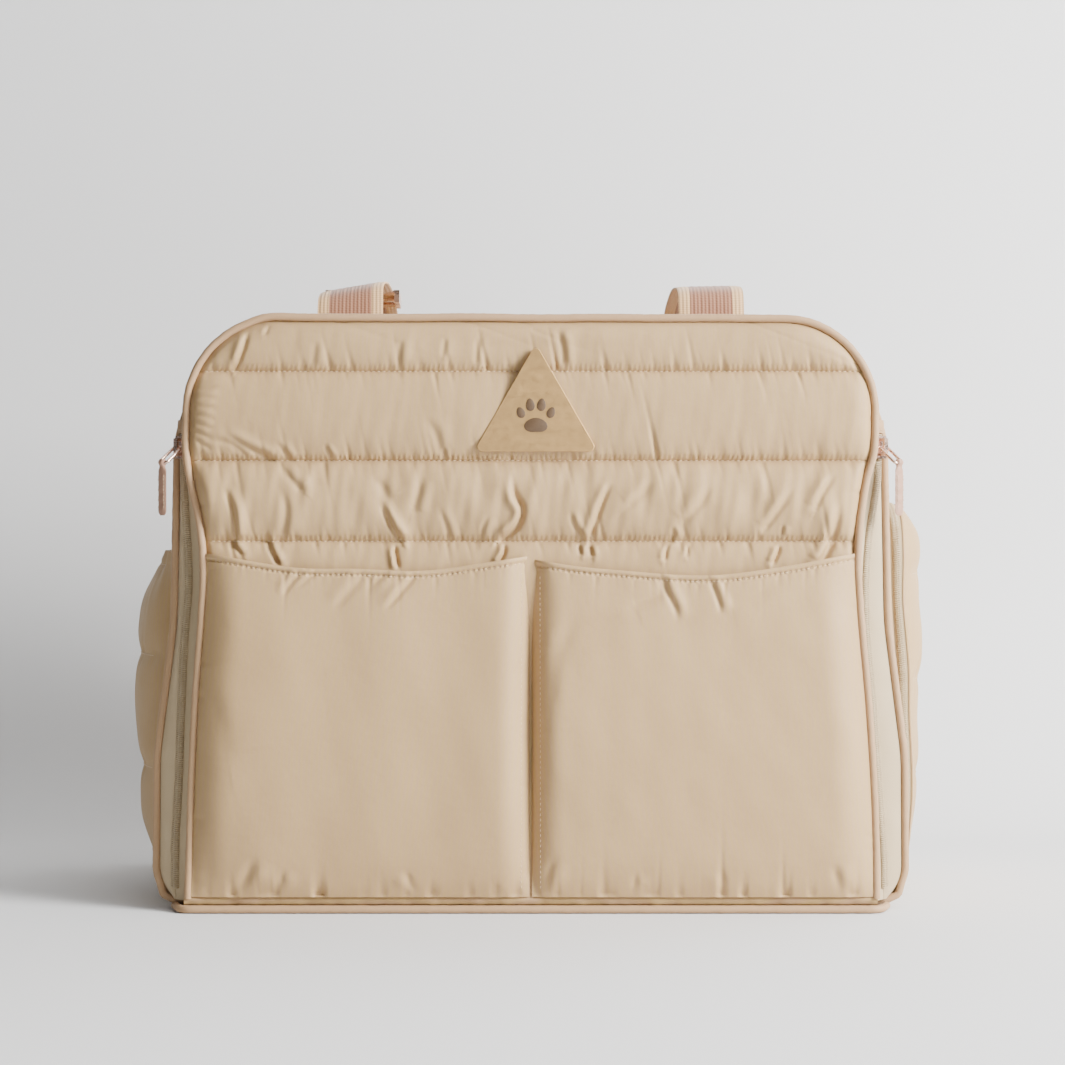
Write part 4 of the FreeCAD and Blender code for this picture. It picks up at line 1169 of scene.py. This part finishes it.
def make_back():
    """The padded back with its window, its lining and the net."""
    hole = (120.0, 118.0, 250.0)
    x, z = outline_grid(0.6, 96, 175)
    edge = np.minimum(body_half(z, 0.6) - np.abs(x), np.minimum(z, HEIGHT - z))
    channels = (46.0, 84.0, 284.0)
    puff = round_edge(edge, 16.0) * round_edge(np.maximum(clear_of(hole, x, z) - 8, 0), 16.0)
    for mark in channels:
        puff = puff * round_edge(np.abs(z - mark) + 0.6, 15.0)
    lift = 2.6 * puff + 0.4 * mottle(x, z, 41, 60.0) * puff
    for k, mark in enumerate(channels):
        lift += pucker(x, np.abs(z - mark), 240 + 3 * k, 6.0, 0.8) * ramp(edge, 2, 10)
    behind = grid_of(x, back_at(z, BACK_THICK - 1.2) + lift, z)
    keep = cells_clear_of(hole, x, z, 3.0)
    panel("back_quilt", behind, grid_of(x, back_at(z), z), shell_cloth, "bag_body", "shell_nylon",
          "back_panel", keep=keep, fill=0.5)
    for mark in channels:
        wall_threads.extend(stitch_row(behind[nearest(z[:, 0], mark), 3:-3] - 0.2 * AHEAD, -AHEAD))

    x, z = outline_grid(PANEL + LINING + 0.5, 80, 130)
    front = grid_of(x, back_at(z, -1.3) + 0.35 * mottle(x, z, 47, 50.0), z)
    rear = grid_of(x, back_at(z, -0.3), z)
    panel("back_inner_lining", front, rear, lining_cloth, "bag_body", "lining_nylon", "back_lining",
          keep=cells_clear_of(hole, x, z, 1.0))

    net("back_net", "back_mesh", (hole[0], hole[1] - 2, hole[2] + 2), 3.2, (0.38, 0.35),
        lambda a, b, out: grid_of(a, back_at(b, 4.5) + out, b))
    frame_strip("back_net_binding", "back_mesh_binding", 124.0, 114.0, 254.0, 24.0,
                lambda a, b, out: grid_of(a, back_at(b, BACK_THICK + 0.2 + out), b))


def net(name, node, window, pitch, strand, place):
    """A net of strands that pass over and under each other. strand is their radius and their rise."""
    half, low, high = window
    radius, rise = strand
    parts = []
    across, along = (-half - 2, half + 2.1), (low, high + 0.1)
    for first, second, side in ((across, along, 1), (along, across, -1)):
        for i, fixed in enumerate(np.arange(*first, pitch)):
            run = np.arange(*second, pitch / 2)
            lift = side * rise * np.array([0.0, 1, 0, -1])[(np.arange(len(run)) + 2 * i) % 4]
            line = place(fixed, run, lift) if side > 0 else place(run, fixed, lift)
            parts.append(tube_parts(line, radius, 4))
    stand_in(make_piece(name, *gather(parts), net_cloth, "bag_body"), "mesh", node)


def frame_strip(name, node, half, low, high, radius, place):
    """A binding round a window. place maps (a, b, out) to a point."""
    corners = [(-half, low), (half, low), (half, high), (-half, high)]
    step = 2.5
    loop = resample(rounded(corners, [radius] * 4, turn_step=5.0), step, closed=True)
    ahead = unit(np.roll(loop, -1, 0) - np.roll(loop, 1, 0))
    out = np.stack([ahead[:, 1], -ahead[:, 0]], 1)
    section = np.linspace(-1, 1, 11)
    crown = 1.5 * (1 - section**6) - 0.25 * np.exp(-(((np.abs(section) - 0.72) / 0.09) ** 2))
    spots = np.arange(len(loop))
    closing = np.minimum(ramp(spots, 0, 8), ramp(len(loop) - spots, 0, 8))
    bumps = 1 + 0.1 * ripple(spots * step, 77, 6.0, 18.0) * closing
    flat = loop[:, None] + out[:, None] * (section * 5.6)[None, :, None]
    top = place(flat[..., 0], flat[..., 1], crown * bumps[:, None])
    below = place(flat[..., 0], flat[..., 1], -0.2)
    top, below = (np.concatenate([grid, grid[:1]]) for grid in (top, below))
    panel(name, top, below, cord_cloth, "bag_body", "piping_nylon", node)


make_back()
frame_strip("top_net_binding", "top_mesh_binding", 70.0, -56.0, 62.0, 17.0,
            lambda a, b, out: grid_of(a, b, HEIGHT + 0.1 + out))
net("top_net", "top_mesh", (ROOF_HOLE[0], ROOF_HOLE[1] - 2, ROOF_HOLE[2] + 2), 2.8, (0.36, 0.3),
    lambda a, b, out: grid_of(a, b, HEIGHT - 1.6 + out))


# ---- interior -----------------------------------------------------------------


def make_cabin_lining():
    line = resample(body_outline(PANEL + 0.1), 3.5)
    inward = unit(np.gradient(line, axis=0))[:, ::-1] * (-1, 1)
    x, z = line[:, :1], line[:, 1:]
    front = FRONT_EDGE + 1.0
    y = front + (back_at(z, -1.6) - front) * np.linspace(0, 1, 56)
    along = distance_along(line)[:, None]
    closing = np.minimum(ramp(along, 0, 30), ramp(along[-1] - along, 0, 30))
    wave = 0.9 + 0.4 * mottle(along, y, 53, 45.0) * closing
    inner = grid_of(x + inward[:, :1] * wave, y, z + inward[:, 1:] * wave)
    keep = cells_clear_of(ROOF_HOLE, x + 0 * y, y, 1.0) | (z[:-1] <= 200)
    panel("cabin_inner_lining", inner, grid_of(x, y, z), lining_cloth, "bag_body", "lining_nylon",
          "cabin_lining", keep=keep)


def make_mat():
    """The plush mat, sewn down along three lines across it."""
    low, high = box_mm("base_mat")
    centre, half = (low + high) / 2, (high - low) / 2
    a, b = np.meshgrid(np.linspace(-1, 1, 110), np.linspace(-1, 1, 56))
    # a square sheet of points pulled to the mat's rounded corners
    pull = 1 - 0.108 * a**6 * b**6
    x, y = centre[0] + half[0] * a * pull, centre[1] + half[1] * b * pull
    edge = np.minimum(half[0] * (1 - np.abs(a)), half[1] * (1 - np.abs(b)))
    rise = np.sqrt(1 - (1 - np.clip(edge / 9.0, 0, 1)) ** 2)
    channels = np.minimum.reduce([np.abs(x - c) for c in (-100.0, 0.0, 100.0)])
    swell = half[2] - 0.9 + 0.5 * mottle(x, y, 59, 70.0) - 2.4 * np.exp(-((channels / 5.0) ** 2))
    top = grid_of(x, y, centre[2] + 0.4 + swell * rise)
    bottom = grid_of(x, y, centre[2] + 0.4 - (half[2] - 0.2) * rise)
    panel("cabin_mat", top, bottom, mat_cloth, "bag_body", "mat_plush", "base_mat", fill=0.7)


def make_hinge_cloth():
    """The strip of cloth that joins the flap's foot to the base."""
    span = np.linspace(-198.0, 198.0, 180)
    section = [(-99.5, 3.6), (-109.4, 4.2), (-110.6, 8.0), (-107.6, 12.0)]
    section = rounded(section, [0, 1.2, 2.0, 0], closed=False)
    y, z = resample(section, 0.9).T
    crease = 0.3 * ripple(span, 91, 9.0, 40.0)[:, None] * np.sin(np.linspace(0, np.pi, len(y)))
    grid = grid_of(span[:, None], y - crease, z)
    strip = shell("flap_hinge_cloth", grid, grid + np.array([0, 0.5, 0.45]), side_cloth)
    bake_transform(strip)


make_cabin_lining()
make_mat()
make_hinge_cloth()


# ---- left slip pocket ---------------------------------------------------------


# how far the right pocket's front run stands out, as a share of its fullness, by the height from its foot
RIGHT_RUN = [(0, 0.3), (14, 0.38), (38, 0.6), (55, 0.67), (85, 0.69), (118, 0.78), (133, 0.75), (156, 0.7),
             (178, 0.81), (190, 0.86), (212, 0.97)]
LEFT_BULGE = [(0, 4.0), (6, 10.0), (20, 17.5), (40, 21.0), (75, 26.5), (98, 28.6), (135, 29.0), (158, 25.0),
              (174, 17.0), (184, 12.4)]
RIGHT_CROWN = [(0, 7.0), (20, 9.0), (40, 9.5), (82, 10.4), (108, 13.0), (140, 17.2), (170, 17.5), (195, 13.0),
               (212, 6.0)]


def on_wall(hand, out, y, up):
    """A point that stands out from the sloping side wall: up is measured along it from the pocket's foot.

    The right pocket is pressed flat towards its front foot and full above."""
    if hand > 0:
        full = curve_at(RIGHT_RUN, up)
        out = out * (1 + (full - 1) * (1 - ramp(np.asarray(y, float), 8.0, 58.0)))
    x = SIDE_POCKET_X - up * math.sin(SIDE_TILT) + out * math.cos(SIDE_TILT)
    z = SIDE_POCKET_Z + up * math.cos(SIDE_TILT) + out * math.sin(SIDE_TILT)
    return grid_of(hand * x, y, z)


def sewn_line(y, gap, lean, sink, depth, seed):
    """How a pocket's face is drawn in along a sewn line, with puckers beside it."""
    valley = sink * np.exp(-((np.abs(gap) / 6.5) ** 1.3))
    return pucker(y + lean * gap, np.abs(gap), seed, 8.0, depth, 7.0, 22.0) - valley


def make_left_pocket():
    """The open pocket: two pinched seams and a mouth gathered on elastic."""
    front, back, top = -74.0, 78.0, 184.0
    seams = (56.0, 122.0)
    up = np.concatenate([np.linspace(0, 150, 76)[:-1], np.linspace(150, top, 30)])
    t = np.linspace(0, 1, 96)
    bow = (1 - np.abs(2 * t - 1) ** 2.6) ** 0.72
    uu, yy = np.meshgrid(up, front + (back - front) * t, indexing="ij")
    out = curve_at(LEFT_BULGE, uu) * bow
    quiet = bow**0.6
    for k, seam in enumerate(seams):
        out += quiet * sewn_line(yy, uu - seam, 0.3, 3.4, 1.9, 300 + 5 * k)
    out += quiet * 1.5 * np.exp(-(top - uu) / 15.0) * ripple(yy, 311, 7.0, 12.0)
    out += quiet * 0.6 * mottle(uu, yy, 313, 42.0)
    out -= quiet * 0.9 * np.exp(-(((top - uu - 8.0) / 1.5) ** 2))
    out = np.maximum(out, 0.3)
    outside = on_wall(-1, out, yy, uu)
    inside = on_wall(-1, np.maximum(out - 2.6, 0.0), yy, uu)
    panel("left_slip_pouch", outside, inside, side_cloth, "bag_body", "shell_nylon", "left_slip_pocket",
          "left_pocket_elastic", fill=0.5)
    away = np.array([-1.0, 0, 0])
    for height in (*seams, top - 8.0):
        wall_threads.extend(stitch_row(outside[nearest(up, height), 6:-6] + away * 0.1, away))


make_left_pocket()


# ---- right zip pocket ---------------------------------------------------------


def pocket_outline(draw=0.0):
    """(y, up) round the zipped pocket, drawn in, from its back foot round over the top to its front foot."""
    front, back, high = POCKET_FRONT + draw, POCKET_BACK - draw, POCKET_HIGH - draw
    corners = [(back, draw), (back, high), (front, high), (front, draw)]
    return rounded([((front + back) / 2, draw)] + corners + [((front + back) / 2, draw)],
                   [0, 14 - draw / 2, 32 - draw / 2, 32 - draw / 2, 14 - draw / 2, 0], closed=False)


def pocket_run(draw, step, low=0.0):
    """Points round the zipped pocket above low, and the directions along and away from it."""
    loop = resample(pocket_outline(draw), step)
    if low:
        loop = loop[loop[:, 1] > low]
    return loop, unit(np.gradient(loop, axis=0)), away_from(loop, (2.0, 106.0))


def pocket_band(name, node, start, end, draw, body, cloth, slot, low=0.0, swell=0.0):
    """A strip of cloth round the zipped pocket, from start to end out from the wall."""
    step = 2.0
    loop, _, away = pocket_run(draw, step, low)
    share = np.linspace(0, 1, 7)
    unevenness = 1 + 0.3 * ripple(np.arange(len(loop)) * step, 401, 9.0, 33.0)[:, None]
    bow = swell * np.sin(np.pi * share) * unevenness
    y, up = loop[:, :1] + away[:, :1] * bow, loop[:, 1:] + away[:, 1:] * bow
    outs = start + (end - start) * share + 0 * y
    inner = on_wall(1, outs, y - away[:, :1] * 0.9, up - away[:, 1:] * 0.9)
    panel(name, on_wall(1, outs, y, up), inner, cloth, body, slot, node)


def make_right_pocket_zip():
    """The gusset, tapes and coils between the wall and the cover."""
    half_tape, low, parked = 2.8, 16.0, POCKET_SLIDE_Z + 7.5
    near, far = POCKET_CHAIN - half_tape, POCKET_CHAIN + half_tape
    pocket_band("right_pouch_gusset", "right_pocket_gusset", 0.0, near - 1.8, 0.4, "bag_body", side_cloth,
                "shell_nylon", swell=0.5)
    for name, body, start, end in (
        ("inner", "bag_body", near - 2.0, POCKET_CHAIN - 0.7),
        ("outer", "pocket_door", POCKET_CHAIN + 0.7, far + 2.2),
    ):
        names = f"pocket_{name}_zip_tape", f"pocket_{name}_tape"
        pocket_band(*names, start, end, 0.9, body, tape, "zip_tape", low)
    for name, side, shift, body in (("inner", -1, 0.0, "bag_body"), ("outer", 1, PITCH / 2, "pocket_door")):
        teeth = []
        for spot, on, way in zip(*pocket_run(0.9, PITCH, low)):
            # below the parked slider, on the back run, the outer half has no coil
            if side < 0 or spot[0] <= 40 or spot[1] >= parked:
                spot = spot + on * shift
                teeth.append(lambda d, o, s=spot, w=way: on_wall(1, POCKET_CHAIN + d, *(s + w * o)))
        make_coil(f"pocket_{name}_zip_coil", f"pocket_{name}_coil", teeth, side, body)
    return far + 2.2


def make_right_pocket_cover(start):
    """The padded cover, start out from the wall, with three sewn lines across it."""
    draw, foot, low_r, high_r = 0.4, 2.4, 14, 32
    high = POCKET_HIGH - draw
    seams = (53.0, 108.0, 171.0)
    turn = math.pi / 2
    up = np.concatenate([foot + 12 * (1 - np.cos(np.linspace(0, turn, 8)[:-1])),
                         np.linspace(foot + 12, 180, 84)[:-1],
                         180 + (high - 180) * np.sin(np.linspace(0, turn, 18))])
    half = (POCKET_BACK - POCKET_FRONT) / 2 - draw - low_r - high_r
    half = half + np.sqrt(low_r**2 - np.clip(low_r - (up - foot), 0, low_r) ** 2)
    half = half + np.sqrt(np.maximum(high_r**2 - np.clip(up - (high - high_r), 0, high_r) ** 2, 0))
    middle = (POCKET_BACK + POCKET_FRONT) / 2
    y = middle + half[:, None] * np.linspace(-1, 1, 88)
    uu = np.broadcast_to(up[:, None], y.shape)
    edge = np.minimum(half[:, None] - np.abs(y - middle), np.minimum(uu - foot, high - uu))
    out = curve_at(RIGHT_CROWN, uu) * round_edge(edge, 26.0, 2.2)
    quiet = ramp(edge, 0, 12)
    for k, seam in enumerate(seams):
        out += quiet * sewn_line(y, uu - seam, -0.3, 2.8, 1.6, 420 + 5 * k)
    out += quiet * 0.5 * mottle(uu, y, 433, 42.0)
    out += pucker(uu, np.maximum(edge, 0), 437, 5.0, 0.8, 6.0, 18.0)
    out = np.maximum(out, 0.2)
    outside = on_wall(1, start + 0.8 + out, y, uu)
    inside = on_wall(1, start + np.maximum(out - 2.4, 0.0), y, uu)
    panel("right_pouch_cover", outside, inside, side_cloth, "pocket_door", "shell_nylon",
          "right_zip_pocket", fill=0.5)
    away = np.array([1.0, 0, 0])
    threads = []
    for height in seams:
        threads += stitch_row(outside[nearest(up, height), 4:-4] + away * 0.1, away)
    sew("right_pouch_stitches", threads, "pocket_door")


make_right_pocket_cover(make_right_pocket_zip())
sew("body_stitches", wall_threads, "bag_body")


# ---- shoulder strap -----------------------------------------------------------


def nurbs_points(points, fine=10):
    """Points read from the smooth spline that these points control."""
    curve = bpy.data.curves.new("route", "CURVE")
    curve.dimensions = "3D"
    curve.resolution_u = fine
    spline = curve.splines.new("NURBS")
    spline.points.add(len(points) - 1)
    for spot, place in zip(spline.points, points):
        spot.co = (*[v * 0.001 for v in place], 1)
    spline.order_u = 3
    spline.use_endpoint_u = True
    holder = bpy.data.objects.new("route", curve)
    mesh = bpy.data.meshes.new_from_object(holder)
    out = np.array([v.co for v in mesh.vertices]) * 1000
    bpy.data.objects.remove(holder)
    bpy.data.meshes.remove(mesh)
    return out


def paint_weave(piece, across, along):
    """Tells the webbing's material where each point of a shell's two skins lies across and along it."""
    for label, values in (("across", across), ("along", along)):
        layer = piece.data.attributes.new(label, "FLOAT", "POINT")
        layer.data.foreach_set("value", np.tile(values, 2).astype(np.float32))


def make_strap():
    """One length of webbing: up from its left sewn end, over the top, down the back in a loop and back up."""
    arch = [(-84, 342.6), (-83, 350), (-77, 359), (-45, 363.5), (-4, 366), (45, 363), (78, 358.5), (98, 346),
            (107, 333)]
    drop = [(105, 112.5, 316), (104, 113.5, 290), (99, 117, 256), (88, 124, 222), (72, 130.5, 188),
            (60, 134, 158), (50, 134, 122), (28, 134, 99), (0, 134, 91)]
    left = [(-STRAP_X, y, z) for y, z in arch] + [(-x, y, z) for x, y, z in drop]
    right = [(-x, y, z) for x, y, z in reversed(left[:-1])]
    step = 3.0
    route = resample(nurbs_points(left + right), step)
    x, y, z = route.T
    # the webbing turns as it drops, until its width runs front to back at the bottom of the loop
    drop_share = np.clip((318.0 - z) / (318.0 - 150.0), 0, 1) * (y > 100)
    turn = np.pi / 2 * np.clip((drop_share - 0.25) / 0.75, 0, 1) ** 1.2
    side = np.where(np.arange(len(route)) < len(route) / 2, 1.0, -1.0)
    wide = np.stack([np.cos(turn) * side, -np.sin(turn), 0 * turn], 1)
    # the left leg leans a little at its top, as webbing does that has been pulled
    wide[:, 2] += np.where((x < 0) & (y < 60), 0.17, 0.02) * ramp(z, 342, 357) * side
    wide = unit(wide)
    tangent = unit(np.gradient(route, axis=0))
    wide = unit(wide - tangent * np.sum(wide * tangent, axis=1)[:, None])
    share = np.linspace(-1, 1, 27)
    ribs = 0.12 * np.cos(share * 2 * np.pi / 0.115) * (np.abs(share) < 0.64)
    crown = STRAP_T / 2 * (1 - 0.55 * np.abs(share) ** 8) + ribs
    flat = route[:, None] + wide[:, None] * (share * STRAP_W / 2)[None, :, None]
    lift = np.cross(tangent, wide)[:, None] * crown[None, :, None]
    strap = shell("shoulder_strap", flat + lift, flat - lift, webbing)
    paint_weave(strap, np.tile(share, len(route)), np.repeat(np.arange(len(route)) * step / 1000, len(share)))
    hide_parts("left_strap_arch", "right_strap_arch", "strap_loop")
    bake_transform(strap)
    length = distance_along(route)[-1]
    print("strap length", round(length, 1))
    return strap, route, length


strap, strap_route, strap_length = make_strap()


def make_patch(name):
    """A sewn end of the strap, stitched in a crossed box."""
    low, high = box_mm(f"{name}_strap_patch")
    a, b = np.meshgrid(np.linspace(-1, 1, 41), np.linspace(-1, 1, 25))
    centre, half = (low + high) / 2, (high - low) / 2
    x, y = centre[0] + half[0] * a, centre[1] + half[1] * b
    seam = 2.6  # from the patch's edge in to its stitches
    edge = np.minimum(half[0] * (1 - np.abs(a)), half[1] * (1 - np.abs(b)))
    dip = 0.35 * np.exp(-(((edge - seam) / 0.5) ** 2))
    z = high[2] - 0.5 + 0.7 * round_edge(edge, 2.5) - dip + 0.1 * np.cos(x * 2 * np.pi / 2.2)
    piece = shell(f"{name}_strap_end", grid_of(x, y, z), grid_of(x, y, low[2]), webbing, "bag_body")
    paint_weave(piece, (x - centre[0]).ravel() / (STRAP_W / 2), y.ravel() / 1000)
    stand_in(piece, "webbing", f"{name}_strap_patch")
    threads = []
    for signs in ([(-1, -1), (1, -1), (1, 1), (-1, 1), (-1, -1), (1, 1)], [(-1, 1), (1, -1)]):
        corners = np.array(signs) * (half[:2] - seam) + centre[:2]
        path = grid_of(corners[:, 0], corners[:, 1], high[2] + 0.2)
        for ends in zip(path[:-1], path[1:]):
            threads += stitch_row(np.array(ends), UP, 2.4, 1.7, 0.25, 0.25)
    sew(f"{name}_strap_end_stitches", threads, "bag_body")


for owner in ("left", "right"):
    make_patch(owner)


# ---- CAD pieces that stay -----------------------------------------------------


def finish_node(node, material, bevel=0.0):
    """Gives a CAD node its finish and eases its edges."""
    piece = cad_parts[node]
    piece.data.materials.clear()
    piece.data.materials.append(material)
    if bevel:
        ease = piece.modifiers.new("eased", "BEVEL")
        ease.width = bevel * 0.001
        ease.segments = 3
        ease.limit_method = "ANGLE"
        ease.angle_limit = math.radians(35)
        ease.harden_normals = False
    piece.data.shade_smooth()
    piece.data.set_sharp_from_angle(angle=math.radians(45))


for owner in ("left", "right", "pocket"):
    finish_node(f"{owner}_slider", rose_gold, 0.55)
    finish_node(f"{owner}_pull_link", rose_gold)
finish_node("strap_adjuster", rose_gold, 0.5)
finish_node("front_rail", lining_cloth, 1.2)
finish_node("rail_magnets", steel, 0.3)
finish_node("flap_magnets", steel, 0.3)
finish_node("flap_stiffener", board_face, 0.3)
finish_node("badge_backing", steel, 0.3)
finish_node("base_board", board_face, 0.8)
